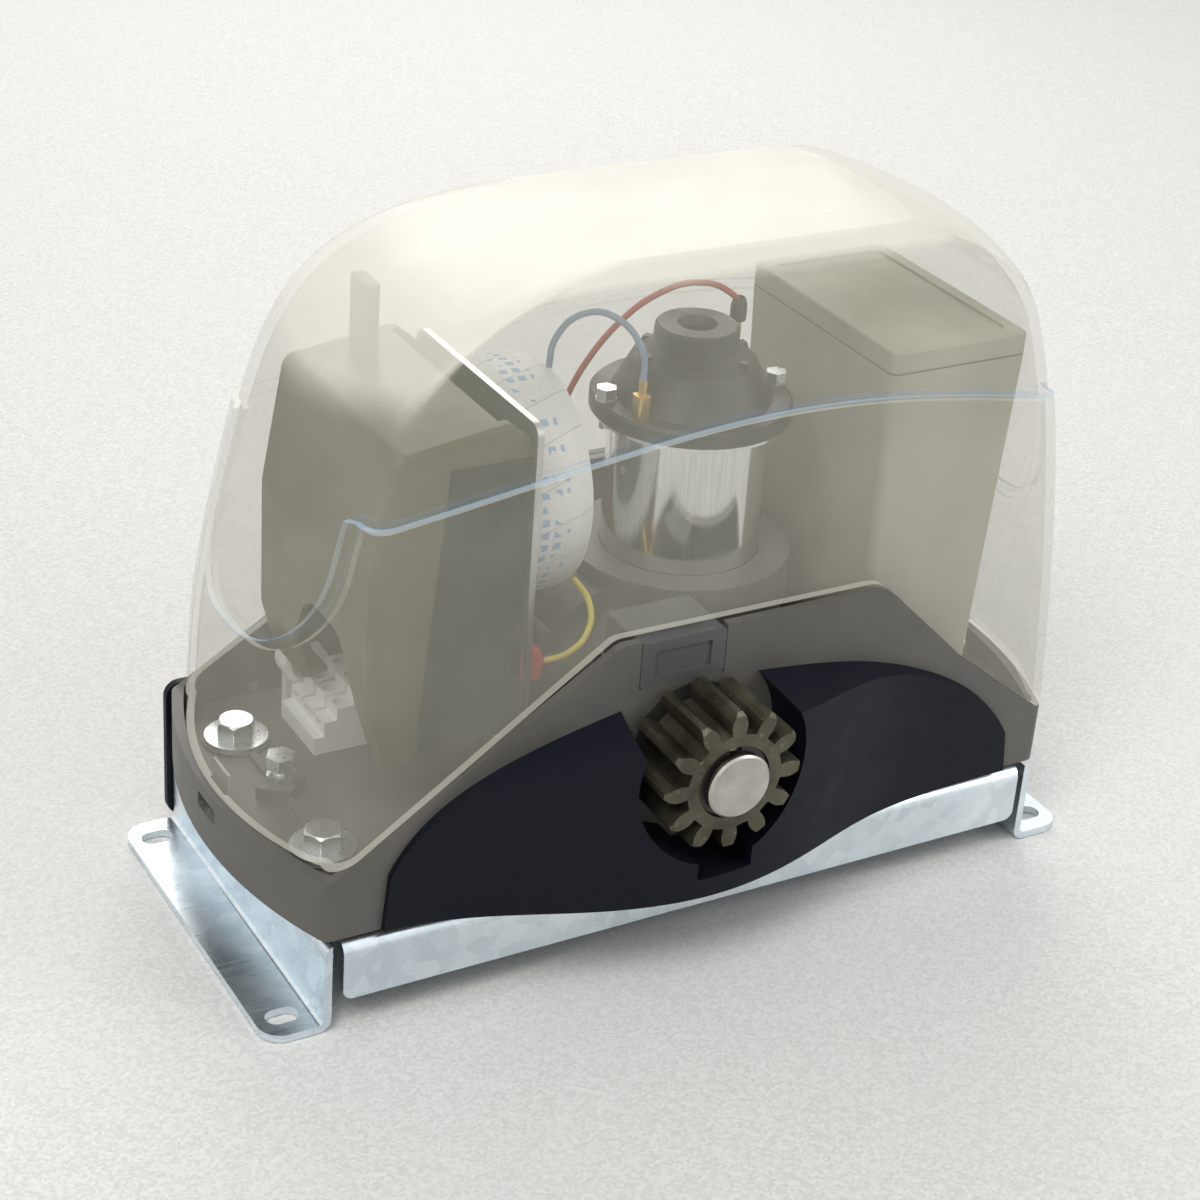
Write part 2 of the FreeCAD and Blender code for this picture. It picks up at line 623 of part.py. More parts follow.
def front_panel():
    """Moulded front panel that bulges out on both sides of the pinion."""
    outer = panel_mass(0.0)
    return outer.cut(panel_mass(PANEL_WALL))


# ---- output shaft, pinion and worm wheel --------------------------------------------------------

PINION_BACK_Y = PINION_FACE_Y + PINION_WIDTH
CLIP_RECESS = 3.0
CLIP_REACH = 1.9
KEY_WIDTH = 8.0
KEY_PROUD = 3.0
WHEEL_FRONT = MOTOR_Y - WHEEL_WIDTH / 2
WHEEL_BACK = MOTOR_Y + WHEEL_WIDTH / 2
DOG_HEIGHT = 3.0
DOG_COUNT = 4
SLEEVE_R = SHAFT_R + 6.5
SLEEVE_WIDTH = 8.5
GROOVE_R = SHAFT_R + 4.0
GROOVE_WIDTH = 4.0
GROOVE_FROM_FACE = 3.0


def involute_tooth_edges(teeth, module, backlash, turn, root_drop):
    """Edges of a spur gear's outline in (u, v), with curved flanks between root and tip."""
    pitch_r = teeth * module / 2
    base_r = pitch_r * math.cos(PRESSURE_ANGLE)
    tip_r = pitch_r + module
    root_r = pitch_r - root_drop * module
    roll = math.tan(PRESSURE_ANGLE) - PRESSURE_ANGLE
    half_pitch = math.pi / (2 * teeth) - backlash / pitch_r

    def half_angle(radius):
        pressure = math.acos(min(1.0, base_r / radius))
        return half_pitch + roll - (math.tan(pressure) - pressure)

    start_r = max(base_r, root_r)
    radii = [start_r + (tip_r - start_r) * step / 3 for step in range(4)]
    flanks = []
    for tooth in range(teeth):
        middle = turn + 2 * math.pi * tooth / teeth
        rising = [(r, middle - half_angle(r)) for r in radii]
        falling = [(r, middle + half_angle(r)) for r in reversed(radii)]
        flanks.append(([(root_r, rising[0][1])] + rising, falling + [(root_r, falling[-1][1])]))
    return flanks


def gear_wire(teeth, module, backlash, turn, root_drop, level, centre):
    """The outline of a spur gear lying across the y axis at one level."""

    def at(polar):
        radius, angle = polar
        return Vector(centre[0] + radius * math.cos(angle), level, centre[1] + radius * math.sin(angle))

    edges = []
    flanks = involute_tooth_edges(teeth, module, backlash, turn, root_drop)
    for index, (rising, falling) in enumerate(flanks):
        for side in (rising, falling):
            points = [at(p) for p in side]
            steps = [pair for pair in zip(points, points[1:]) if (pair[0] - pair[1]).Length > 1e-3]
            edges.extend(Part.LineSegment(a, b).toShape() for a, b in steps)
            if side is rising:
                edges.append(Part.LineSegment(points[-1], at(falling[0])).toShape())
        onward = flanks[(index + 1) % teeth][0][0]
        edges.append(Part.LineSegment(at(falling[-1]), at(onward)).toShape())
    return Part.Wire(edges)


def output_shaft():
    """The output shaft, stepped down for the rear bearing, with a groove for the pinion's clip."""
    nose_y = PINION_FACE_Y - SHAFT_NOSE
    step_y = DRUM_BACK
    end_y = DRUM_BACK + 2 + REAR_BEARING[2]
    clip_y = PINION_FACE_Y + CLIP_RECESS
    small_r = REAR_BEARING[0] / 2
    profile = [
        (0, nose_y), (SHAFT_R - 0.8, nose_y), (SHAFT_R, nose_y + 0.8), (SHAFT_R, clip_y - 1.6),
        (SHAFT_R - 0.8, clip_y - 1.6), (SHAFT_R - 0.8, clip_y), (SHAFT_R, clip_y), (SHAFT_R, step_y),
        (small_r, step_y), (small_r, end_y), (0, end_y),
    ]
    shaft = lathe(profile, (SHAFT_X, SHAFT_Z), "y")
    return cut(shaft, *[key_block(span) for span in key_spans()])


def key_spans():
    """The y ranges of the two keys: pinion and clutch sleeve.  The worm wheel turns free on the shaft."""
    return [(PINION_FACE_Y + 7, PINION_BACK_Y - 3), (WHEEL_BACK + DOG_HEIGHT + 1, DRUM_BACK - 1.5)]


def key_block(span, gap=0.0):
    """A parallel key half in the shaft, on its top side."""
    half = KEY_WIDTH / 2 + gap
    top = SHAFT_Z + SHAFT_R + KEY_PROUD + gap
    return slab("xy", (SHAFT_X - half, SHAFT_X + half), (span[0] - gap, span[1] + gap),
                (SHAFT_Z + SHAFT_R - KEY_PROUD, top))


def keyway(span, gap):
    """The slot that a wheel needs to slide over a key."""
    half = KEY_WIDTH / 2 + gap
    return slab("xy", (SHAFT_X - half, SHAFT_X + half), span,
                (SHAFT_Z, SHAFT_Z + SHAFT_R + KEY_PROUD + gap))


def shaft_keys():
    """Parallel keys of the pinion and the clutch sleeve."""
    return [key_block(span) for span in key_spans()]


def pinion():
    """Twelve-tooth rack pinion."""
    wire = gear_wire(PINION_TEETH, PINION_MODULE, 0.1, 0.0, 1.2, PINION_FACE_Y, (SHAFT_X, SHAFT_Z))
    body = Part.Face(wire).extrude(Vector(0, PINION_WIDTH, 0))
    bore = rod(SHAFT_R + RUNNING_FIT / 2, PINION_FACE_Y - 1, PINION_BACK_Y + 1, "y", (SHAFT_X, SHAFT_Z))
    recess = rod(SHAFT_R + CLIP_REACH, PINION_FACE_Y - 1, PINION_FACE_Y + CLIP_RECESS, "y",
                 (SHAFT_X, SHAFT_Z))
    slot = keyway((PINION_FACE_Y + 6, PINION_BACK_Y + 1), RUNNING_FIT)
    blank = lathe([(0, PINION_FACE_Y), (26.6, PINION_FACE_Y), (28.1, PINION_FACE_Y + 1.5),
                   (28.1, PINION_BACK_Y - 1.5), (26.6, PINION_BACK_Y), (0, PINION_BACK_Y)],
                  (SHAFT_X, SHAFT_Z), "y")
    return cut(body.common(blank), bore, recess, slot)


def pinion_clip():
    """Retaining ring in the recess of the pinion's face."""
    start = PINION_FACE_Y + CLIP_RECESS - 1.55
    ring_body = ring(SHAFT_R + CLIP_REACH - 0.3, SHAFT_R - 0.8 + RUNNING_FIT, start, start + 1.5, "y",
                     (SHAFT_X, SHAFT_Z))
    gap = slab("xy", (SHAFT_X - 2.5, SHAFT_X + 2.5), (start - 1, start + 3), (SHAFT_Z, SHAFT_Z + 20))
    return ring_body.cut(gap)


def clutch_dogs(start, stop, turn, half_turn):
    """Four dog teeth: sectors of a ring, each half_turn wide to either side of its middle."""
    ring_body = ring(SLEEVE_R - 0.5, SHAFT_R + 1.0, start, stop, "y", (SHAFT_X, SHAFT_Z))
    sectors = []
    for u, v in around(DOG_COUNT, 1.0, (0, 0), turn):
        middle = math.atan2(v, u)
        reach = 2 * SLEEVE_R
        spread = [(SHAFT_X + reach * math.cos(middle + side * half_turn),
                   SHAFT_Z + reach * math.sin(middle + side * half_turn)) for side in (-1, 1)]
        sectors.append(prism("xz", [(SHAFT_X, SHAFT_Z)] + spread, start - 1, stop + 1))
    return [ring_body.common(sector) for sector in sectors]


def worm_wheel():
    """Worm wheel with slanted teeth and the fixed half of the dog clutch on its back."""
    lead_slope = WORM_MODULE / (2 * WORM_PITCH_R)
    pitch_r = WORM_MODULE * WHEEL_TEETH / 2
    half_twist = lead_slope * WHEEL_WIDTH / 2 / pitch_r
    first = math.pi / WHEEL_TEETH
    wires = []
    for side, level in ((-1, WHEEL_FRONT), (1, WHEEL_BACK)):
        turn = first - side * half_twist
        wires.append(gear_wire(WHEEL_TEETH, WORM_MODULE, TOOTH_CLEAR / 2, turn, 1.2, level,
                               (SHAFT_X, SHAFT_Z)))
    rim = Part.makeLoft(wires, True, True)
    web_r = pitch_r - 5
    groove = ring(web_r, SLEEVE_R, WHEEL_FRONT - 1, WHEEL_FRONT + 3, "y", (SHAFT_X, SHAFT_Z))
    back_groove = ring(web_r, SLEEVE_R + 1, WHEEL_BACK - 3, WHEEL_BACK + 1, "y", (SHAFT_X, SHAFT_Z))
    dogs = clutch_dogs(WHEEL_BACK - 0.5, WHEEL_BACK + DOG_HEIGHT, math.pi / 4, math.radians(20))
    body = fuse(rim.cut([groove, back_groove]), *dogs)
    return cut(body, rod(SHAFT_R + RUNNING_FIT, WHEEL_FRONT - 1, WHEEL_BACK + 9, "y", (SHAFT_X, SHAFT_Z)))


def clutch_sleeve():
    """Sliding half of the dog clutch, with the groove that the fork runs in."""
    front = WHEEL_BACK + DOG_HEIGHT + SEAT_GAP
    back = front + SLEEVE_WIDTH
    groove_y = front + GROOVE_FROM_FACE
    body = rod(SLEEVE_R, front, back, "y", (SHAFT_X, SHAFT_Z))
    groove = ring(SLEEVE_R + 1, GROOVE_R, groove_y, groove_y + GROOVE_WIDTH, "y", (SHAFT_X, SHAFT_Z))
    dogs = clutch_dogs(WHEEL_BACK + SEAT_GAP, front + 0.5, 0.0, math.radians(20))
    body = fuse(body.cut(groove), *dogs)
    bore = rod(SHAFT_R + RUNNING_FIT, front - 9, back + 1, "y", (SHAFT_X, SHAFT_Z))
    return cut(body, bore, keyway((front - 9, back + 1), 2 * RUNNING_FIT))


# ---- manual release -----------------------------------------------------------------------------

CRANK_R = RELEASE_TRAVEL / 2 / math.sin(math.radians(45))
CRANK_PIN_R = 2.5
FORK_THICK = 3.4
FORK_Y = WHEEL_BACK + DOG_HEIGHT + SEAT_GAP + GROOVE_FROM_FACE + (GROOVE_WIDTH - FORK_THICK) / 2
FORK_LIFT = 6.0
LUG_THICK = 3.2


def crank_pin_place():
    """Where the crank pin stands with the clutch engaged."""
    reach = CRANK_R * math.cos(math.radians(45))
    return RELEASE_X + reach, RELEASE_Y - reach


def release_spindle():
    """Hexagon-headed spindle with a crank pin under its disc."""
    centre = (RELEASE_X, RELEASE_Y)
    disc_z = FORK_Z + 4 + SEAT_GAP
    head_z = FORK_Z + 7.5
    head = hexagon(14, head_z, head_z + 8, "z", centre)
    crown = lathe([(0, head_z - 1), (8.3, head_z - 1), (8.3, head_z + 7), (7, head_z + 8),
                   (0, head_z + 8)], centre, "z")
    pin = rod(CRANK_PIN_R, FORK_Z - 0.5, disc_z, "z", crank_pin_place())
    return fuse(head.common(crown), rod(8, disc_z, head_z, "z", centre), pin)


def clutch_fork():
    """Flat fork: a half ring in the sleeve's groove, an arm to the left and a slotted lug."""
    centre = (SHAFT_X, SHAFT_Z)
    half_ring = ring(GROOVE_R + 6.5, GROOVE_R + 0.5, FORK_Y, FORK_Y + FORK_THICK, "y", centre)
    half_ring = half_ring.cut(slab("xz", (SHAFT_X - 40, SHAFT_X + 40), (SHAFT_Z - 4, SHAFT_Z + 40),
                                   (FORK_Y - 1, FORK_Y + 5)))
    lug_x = (RELEASE_X - 6, RELEASE_X + 9)
    arm = slab("xz", (lug_x[0], SHAFT_X + 8), (FORK_Z, FORK_Z + FORK_LIFT),
               (FORK_Y, FORK_Y + FORK_THICK))
    clear = rod(GROOVE_R + 0.5, FORK_Y - 1, FORK_Y + 9, "y", centre)
    lug = slab("xy", lug_x, (RELEASE_Y - 6.5, FORK_Y + 1), (FORK_Z, FORK_Z + LUG_THICK))
    pin_x, pin_y = crank_pin_place()
    half_slot = CRANK_PIN_R + 0.35
    slot = slab("xy", (pin_x - half_slot - 0.2, pin_x + CRANK_R - CRANK_R * math.cos(math.radians(45))
                       + half_slot + 0.2), (pin_y - half_slot, pin_y + half_slot),
                (FORK_Z - 1, FORK_Z + LUG_THICK + 1), half_slot - 0.1)
    arm = arm.cut(slab("xy", (RELEASE_X - 20, RELEASE_X + 15), (FORK_Y - 2, FORK_Y + 6),
                       (FORK_Z + LUG_THICK, FORK_Z + 20)))
    return cut(fuse(half_ring, arm.cut(clear), lug), slot)


# ---- motor --------------------------------------------------------------------------------------

MAGNET_R = (CAN_R - CAN_WALL - 5.4, CAN_R - CAN_WALL)
MAGNET_Z = (127.0, 173.0)
CORE_R = MAGNET_R[0] - 0.8
CORE_Z = (131.0, 167.0)
CORE_SLOTS = 12
COMMUTATOR_R = 9.0
COMMUTATOR_Z = (176.0, 189.0)
BRUSH = (6.0, 5.9, 10.0)
CAP_SCREW_RING = CAN_R + 3.7
CAP_SCREW_TURN = math.radians(172)
TOP_BUSH_Z = 199.0
AXIS = (MOTOR_X, MOTOR_Y)


def motor_can():
    """Drawn steel can: a floor with a hole for the shaft and a rolled flange at the top."""
    floor_z = CAN_BOTTOM + SEAT_GAP
    body = ring(CAN_R, CAN_R - CAN_WALL, floor_z, CAN_TOP, "z", AXIS)
    floor = ring(CAN_R - 1, HIGH_BEARING[1] / 2 - 2, floor_z, floor_z + CAN_WALL, "z", AXIS)
    flange = ring(CAP_FLANGE_R - 1.5, CAN_R - 1, CAN_TOP - 2, CAN_TOP, "z", AXIS)
    holes = [rod(2.2, CAN_TOP - 9, CAN_TOP + 1, "z", place) for place in cap_screw_places()]
    return cut(fuse(body, floor, flange), *holes)


def cap_screw_places():
    """The two screws of the end cap."""
    return around(2, CAP_SCREW_RING, AXIS, CAP_SCREW_TURN)


def magnets():
    """Two arc magnets bonded inside the can."""
    shell = ring(MAGNET_R[1], MAGNET_R[0], MAGNET_Z[0], MAGNET_Z[1], "z", AXIS)
    arcs = []
    for middle in (0.0, math.pi):
        spread = [(MOTOR_X + 90 * math.cos(middle + side), MOTOR_Y + 90 * math.sin(middle + side))
                  for side in (-1.1, 1.1)]
        arcs.append(shell.common(prism("xy", [AXIS] + spread, MAGNET_Z[0] - 1, MAGNET_Z[1] + 1)))
    return arcs


def motor_end_cap():
    """Moulded cap: a flange, a stepped dome and a hub open over the shaft's end."""
    profile = [
        (CAP_FLANGE_R, CAN_TOP), (CAP_FLANGE_R, CAN_TOP + CAP_FLANGE - 1),
        (CAP_FLANGE_R - 1, CAN_TOP + CAP_FLANGE), (CAN_R, CAN_TOP + CAP_FLANGE),
        (CAN_R - 1.5, CAN_TOP + 9), (CAN_R - 7, CAN_TOP + 20), (CAP_HUB_R + 2.5, CAN_TOP + 23),
        (CAP_HUB_R, CAN_TOP + 25), (CAP_HUB_R - 0.6, CAP_TOP - 1), (CAP_HUB_R - 1.6, CAP_TOP),
        (7.5, CAP_TOP), (5.5, CAP_TOP - 3), (5.5, TOP_BUSH_Z + 8), (8.0, TOP_BUSH_Z + 8),
        (8.0, TOP_BUSH_Z), (CAP_HUB_R - 1, TOP_BUSH_Z), (CAN_R - 9.5, CAN_TOP + 16),
        (CAN_R - 4, CAN_TOP + 6), (CAN_R - 4, CAN_TOP),
    ]
    cap = lathe(profile, AXIS, "z")
    ribs = []
    for step in range(6):
        rib = slab("xy", (MOTOR_X + CAP_HUB_R - 1.5, MOTOR_X + CAN_R - 2),
                   (MOTOR_Y - 1.5, MOTOR_Y + 1.5), (CAN_TOP + 17, CAN_TOP + 23))
        ribs.append(rib.rotate(Vector(MOTOR_X, MOTOR_Y, 0), Z_AXIS, 60 * step))
    dome = Part.makeCone(CAN_R - 1, CAP_HUB_R + 4, 22, Vector(MOTOR_X, MOTOR_Y, CAN_TOP + 4), Z_AXIS)
    cap = fuse(cap, *[rib.common(dome) for rib in ribs])
    holes = [rod(2.2, CAN_TOP - 1, CAN_TOP + 9, "z", place) for place in cap_screw_places()]
    return cut(cap, *holes)


def cap_screws():
    """Hexagon screws and washers that hold the end cap to the can's flange."""
    top = CAN_TOP + CAP_FLANGE
    screws = []
    for place in cap_screw_places():
        screws.append(fuse(hexagon(7, top + 1, top + 5, "z", place), rod(3.8, top, top + 1, "z", place),
                           rod(2, CAN_TOP - 5, top, "z", place)))
    return screws


def motor_terminals():
    """Brass tab terminals on the end cap's flange, against its dome."""
    dome = lathe([(0, CAN_TOP), (CAN_R, CAN_TOP), (CAN_R, CAN_TOP + CAP_FLANGE), (CAN_R - 1.5, CAN_TOP + 9),
                  (CAN_R - 7, CAN_TOP + 20), (0, CAN_TOP + 20)], AXIS, "z")
    left = slab("xy", (MOTOR_X - 31, MOTOR_X - 26), (MOTOR_Y - 15, MOTOR_Y - 9), (188, 196), 1)
    left_tab = slab("xy", (MOTOR_X - 29, MOTOR_X - 28), (MOTOR_Y - 14, MOTOR_Y - 10), (195, 202))
    right = slab("xy", (MOTOR_X + 24, MOTOR_X + 29), (MOTOR_Y + 11, MOTOR_Y + 17), (188, 199), 1)
    right_tab = slab("xy", (MOTOR_X + 26, MOTOR_X + 27), (MOTOR_Y + 12, MOTOR_Y + 16), (198, 207))
    return [fuse(left, left_tab).cut(dome), fuse(right, right_tab).cut(dome)]


def brush_holder():
    """Insulating ring with two brush boxes, held under the end cap."""
    low = CAN_TOP - 3.5
    body = ring(CAN_R - CAN_WALL - 0.1, COMMUTATOR_R + 3, low, low + 2.5, "z", AXIS)
    reach = (COMMUTATOR_R + 3.5, COMMUTATOR_R + 1.8 + BRUSH[2])
    for side in (-1, 1):
        u = sorted((MOTOR_X + side * reach[0], MOTOR_X + side * reach[1]))
        body = fuse(body, slab("xy", u, (MOTOR_Y - 5, MOTOR_Y + 5), (low + 2, low + 9.5)))
    tools = []
    for side in (-1, 1):
        u = sorted((MOTOR_X + side * (reach[0] - 3), MOTOR_X + side * (reach[1] - 1.5)))
        tools.append(slab("xy", u, (MOTOR_Y - BRUSH[0] / 2 - 0.1, MOTOR_Y + BRUSH[0] / 2 + 0.1),
                          (low + 2.5, low + 8.5)))
    return cut(body, *tools)


def brushes():
    """Two carbon brushes against the commutator."""
    low = CAN_TOP - 1
    pair = []
    for side in (-1, 1):
        u = sorted((MOTOR_X + side * (COMMUTATOR_R + SEAT_GAP),
                    MOTOR_X + side * (COMMUTATOR_R + SEAT_GAP + BRUSH[2])))
        pair.append(slab("xy", u, (MOTOR_Y - BRUSH[0] / 2, MOTOR_Y + BRUSH[0] / 2), (low, low + BRUSH[1])))
    return pair


def worm_shaft():
    """Rotor shaft with the single-start worm cut on its lower end."""
    lead = math.pi * WORM_MODULE
    turns = round(WORM_LENGTH / lead)
    start_z = SHAFT_Z - turns * lead / 2
    shaft = rod(ROTOR_R, LOW_BEARING_Z, CAP_TOP - 5, "z", AXIS)
    helix = Part.makeHelix(lead, turns * lead, WORM_PITCH_R)
    helix.translate(Vector(MOTOR_X, MOTOR_Y, start_z))
    slope = math.tan(PRESSURE_ANGLE)
    root = ROTOR_R - 0.3
    tip = WORM_PITCH_R + WORM_MODULE
    half_pitch = lead / 4 - TOOTH_CLEAR
    half_root = half_pitch + (WORM_PITCH_R - root) * slope
    half_tip = half_pitch - (tip - WORM_PITCH_R) * slope
    corners = [(root, -half_root), (tip, -half_tip), (tip, half_tip), (root, half_root)]
    points = [Vector(MOTOR_X + r, MOTOR_Y, start_z + z) for r, z in corners]
    section = Part.Wire(Part.makePolygon(points + points[:1]).Edges)
    sweep = Part.BRepOffsetAPI.MakePipeShell(Part.Wire(helix.Edges))
    sweep.setFrenetMode(True)
    sweep.add(section)
    sweep.build()
    sweep.makeSolid()
    return fuse(shaft, sweep.shape())


def armature_core():
    """Stack of laminations with winding slots, fixed on the rotor shaft."""
    body = ring(CORE_R, ROTOR_R + 0.02, CORE_Z[0], CORE_Z[1], "z", AXIS)
    slot_end = CORE_R - 3.3
    slots = []
    for step in range(CORE_SLOTS):
        slot = fuse(
            slab("xy", (MOTOR_X + CORE_R / 2, MOTOR_X + slot_end), (MOTOR_Y - 1.6, MOTOR_Y + 1.6),
                 (CORE_Z[0] - 1, CORE_Z[1] + 1)),
            slab("xy", (MOTOR_X + slot_end - 1, MOTOR_X + CORE_R + 2), (MOTOR_Y - 0.8, MOTOR_Y + 0.8),
                 (CORE_Z[0] - 1, CORE_Z[1] + 1)),
        )
        slots.append(slot.rotate(Vector(MOTOR_X, MOTOR_Y, 0), Z_AXIS, 360.0 * step / CORE_SLOTS))
    return cut(body, *slots)


def armature_windings():
    """The two end turns of the armature's copper winding."""
    turns = []
    for base, way, tail in ((CORE_Z[0], -1, 5), (CORE_Z[1], 1, 8)):
        profile = [(6, base), (CORE_R - 2.8, base), (CORE_R - 1.8, base + way * 3),
                   (CORE_R - 4.8, base + way * 6.5), (8, base + way * 7.5), (6, base + way * tail)]
        turns.append(lathe(profile, AXIS, "z"))
    return turns


def commutator():
    """Commutator on the rotor shaft, slotted into segments."""
    body = ring(COMMUTATOR_R, ROTOR_R + 0.02, COMMUTATOR_Z[0], COMMUTATOR_Z[1], "z", AXIS)
    gaps = []
    for step in range(CORE_SLOTS):
        gap = slab("xy", (MOTOR_X + COMMUTATOR_R - 1, MOTOR_X + COMMUTATOR_R + 1),
                   (MOTOR_Y - 0.3, MOTOR_Y + 0.3), (COMMUTATOR_Z[0] + 1, COMMUTATOR_Z[1] + 1))
        gaps.append(gap.rotate(Vector(MOTOR_X, MOTOR_Y, 0), Z_AXIS, 360.0 * (step + 0.5) / CORE_SLOTS))
    return cut(body, *gaps)


# ---- electrics ----------------------------------------------------------------------------------

PLATE_X = (-63.5, -61.0)
PLATE_Y = (-42.0, 53.0)
PLATE_TOP = 205.0
LEG_TOP = 84.0
BOARD_X = -73.0
BOARD_Y = (-33.0, 49.0)
BOARD_Z = (98.0, 198.0)
CRADLE_TOP = 64.0
BATTERY_LID = 9.0
CAPACITOR_PLACE = (12.0, 160.0)
RECEIVER_X = -93.5
TUB_SETBACK = 20.0
TUB_LEAN = 9.0
TUB_DROP = 13.5
TUB_FLOOR = BOX_Z[0] + 14
COIL_HOLE_R = 14.0
CUP_R = 24.0
TERMINAL_X = (-117.0, -91.0)
TERMINAL_Y = (18.0, 49.0)
POLES = 3
PLUG_Y = (-40.0, -33.0)
PLUG_Z = (104.0, 116.0)
SADDLE_PLACE = (-106.0, 73.0)
SADDLE_R = 9.0
SADDLE_LENGTH = 10.0
WIRE_R = 1.2


def mounting_plate():
    """Upright sheet plate on two feet that carries the transformer and the control box."""
    body = slab("yz", PLATE_Y, (FLOOR_Z, PLATE_TOP), PLATE_X, 5)
    window = slab("yz", (PLATE_Y[0] + 22, PLATE_Y[1] - 15), (FLOOR_Z - 9, LEG_TOP), (-70, -50), 4)
    body = body.cut(window)
    thick = PLATE_X[1] - PLATE_X[0]
    for span in ((PLATE_Y[0] + 5, PLATE_Y[0] + 20), (PLATE_Y[1] - 14, PLATE_Y[1] - 4)):
        foot = slab("xy", (PLATE_X[0], PLATE_X[1] + 10), span, (FLOOR_Z, FLOOR_Z + thick))
        body = fuse(body, foot)
    bolt = rod(3 + THREAD_GAP, -80, -50, "x", (COIL_Y, COIL_Z))
    plug_notch = slab("yz", (PLUG_Y[0] - SEAT_GAP, PLUG_Y[1] + SEAT_GAP), (PLUG_Z[0], PLUG_Z[1] + SEAT_GAP),
                      (-70, -50))
    return cut(body, bolt, plug_notch)


def transformer():
    """Ring-shaped transformer standing on edge against the plate."""
    left = PLATE_X[1] + SEAT_GAP
    right = left + COIL_WIDTH
    profile = [(COIL_HOLE_R, left + 4), (COIL_HOLE_R + 4, left), (COIL_R - 6, left), (COIL_R - 1.5, left + 2),
               (COIL_R, left + 7), (COIL_R, right - 7), (COIL_R - 1.5, right - 2), (COIL_R - 6, right),
               (COIL_HOLE_R + 4, right), (COIL_HOLE_R, right - 4)]
    points = [Vector(x, COIL_Y, COIL_Z + r) for r, x in profile]
    face = Part.Face(Part.makePolygon(points + points[:1]))
    return face.revolve(Vector(0, COIL_Y, COIL_Z), X_AXIS, 360)


def transformer_cup():
    """Dished washer that clamps the transformer."""
    start = PLATE_X[1] + SEAT_GAP + COIL_WIDTH
    plate = rod(CUP_R, start, start + 1.5, "x", (COIL_Y, COIL_Z))
    dish = fuse(rod(COIL_HOLE_R - 1, start - 2, start + 1.5, "x", (COIL_Y, COIL_Z)), plate)
    hollow = rod(COIL_HOLE_R - 2.5, start - 0.5, start + 2, "x", (COIL_Y, COIL_Z))
    return cut(dish, hollow, rod(3.3, start - 5, start + 5, "x", (COIL_Y, COIL_Z)))


def transformer_bolt():
    """Bolt and nut through the middle of the transformer."""
    cup_floor = PLATE_X[1] + SEAT_GAP + COIL_WIDTH - 0.5
    centre = (COIL_Y, COIL_Z)
    nut_back = PLATE_X[0] - 4
    shank = rod(3, nut_back - 1, cup_floor, "x", centre)
    head = hexagon(10, cup_floor, cup_floor + 4, "x", centre)
    nut = hexagon(10, nut_back, PLATE_X[0], "x", centre).cut(rod(3 + THREAD_GAP, -80, -50, "x", centre))
    return [fuse(head, shank), nut]


def lid_section(inset):
    """The control box seen from the front: a leaning left wall, a rounded ridge and a rising top."""
    left, right = BOX_X
    low, high = BOX_Z
    return [
        (right + 2, low + 8 + inset), (left + 6 + inset, low + inset, 3),
        (left + inset, low + 22, 8), (left + inset, low + 72, 30),
        (left + 8 + inset, high - 6 - inset, 6 - inset), (right - 8, high - inset, 4),
        (right + 2, high - 8 - inset),
    ]


def control_lid():
    """Moulded lid of the control box, with an arch in its end wall for the supply cable."""
    y0, y1 = BOX_Y
    outer = prism("xz", lid_section(0.0), y0, y1)
    rounded = edges_where(outer, lambda p: abs(p.y - y0) < 0.1 and p.z > BOX_Z[0] + 40
                          and p.x < BOX_X[0] + 20)
    outer = outer.makeFillet(2.0, rounded)
    inner = prism("xz", lid_section(BOX_WALL), y0 + BOX_WALL, y1 - BOX_WALL)
    open_side = prism("xz", tub_side(BOX_Z[0] - 2, SEAT_GAP), y0 - 1, y0 + BOX_WALL + 1)
    back_side = prism("xz", tub_side(BOX_Z[0] - 2, SEAT_GAP), y1 - BOX_WALL - 1, y1 + 1)
    board_gap = slab("xy", (BOARD_X - 2, BOX_X[1] + 3), (y0 + 5, y1 - 5), (BOX_Z[1] - 15, BOX_Z[1] + 3))
    arch = prism("yz", [(-33, 60), (-31, 100, 8), (-14, 124, 13), (14, 124, 13), (29, 94), (31, 60)],
                 BOX_X[0] - 5, BOX_X[0] + 22)
    bottom = slab("xy", (BOX_X[0] + 16, BOX_X[1] + 3), (y0 + BOX_WALL, y1 - BOX_WALL),
                  (BOX_Z[0] - 5, BOX_Z[0] + 14))
    plate_side = slab("yz", (y0 - 5, y1 + 5), (BOX_Z[0] - 9, BOX_Z[1] + 9),
                      (PLATE_X[0] - SEAT_GAP, PLATE_X[0] + 9))
    slot = slab("xy", (RECEIVER_X - 3.5, RECEIVER_X + 3.5), (26, 42), (BOX_Z[1] - 9, BOX_Z[1] + 3), 1)
    return cut(outer, inner, open_side, back_side, arch, bottom, plate_side, board_gap, slot)


def tub_side(low, gap=0.0):
    """The tub's side seen from the front, its open edge leaning back towards the top."""
    left = BOX_X[0] + TUB_SETBACK - gap
    right = PLATE_X[0] + gap
    high = BOX_Z[1] - TUB_DROP + gap
    return [(left, low), (right, low), (right, high), (left + TUB_LEAN, high), (left, TUB_FLOOR)]


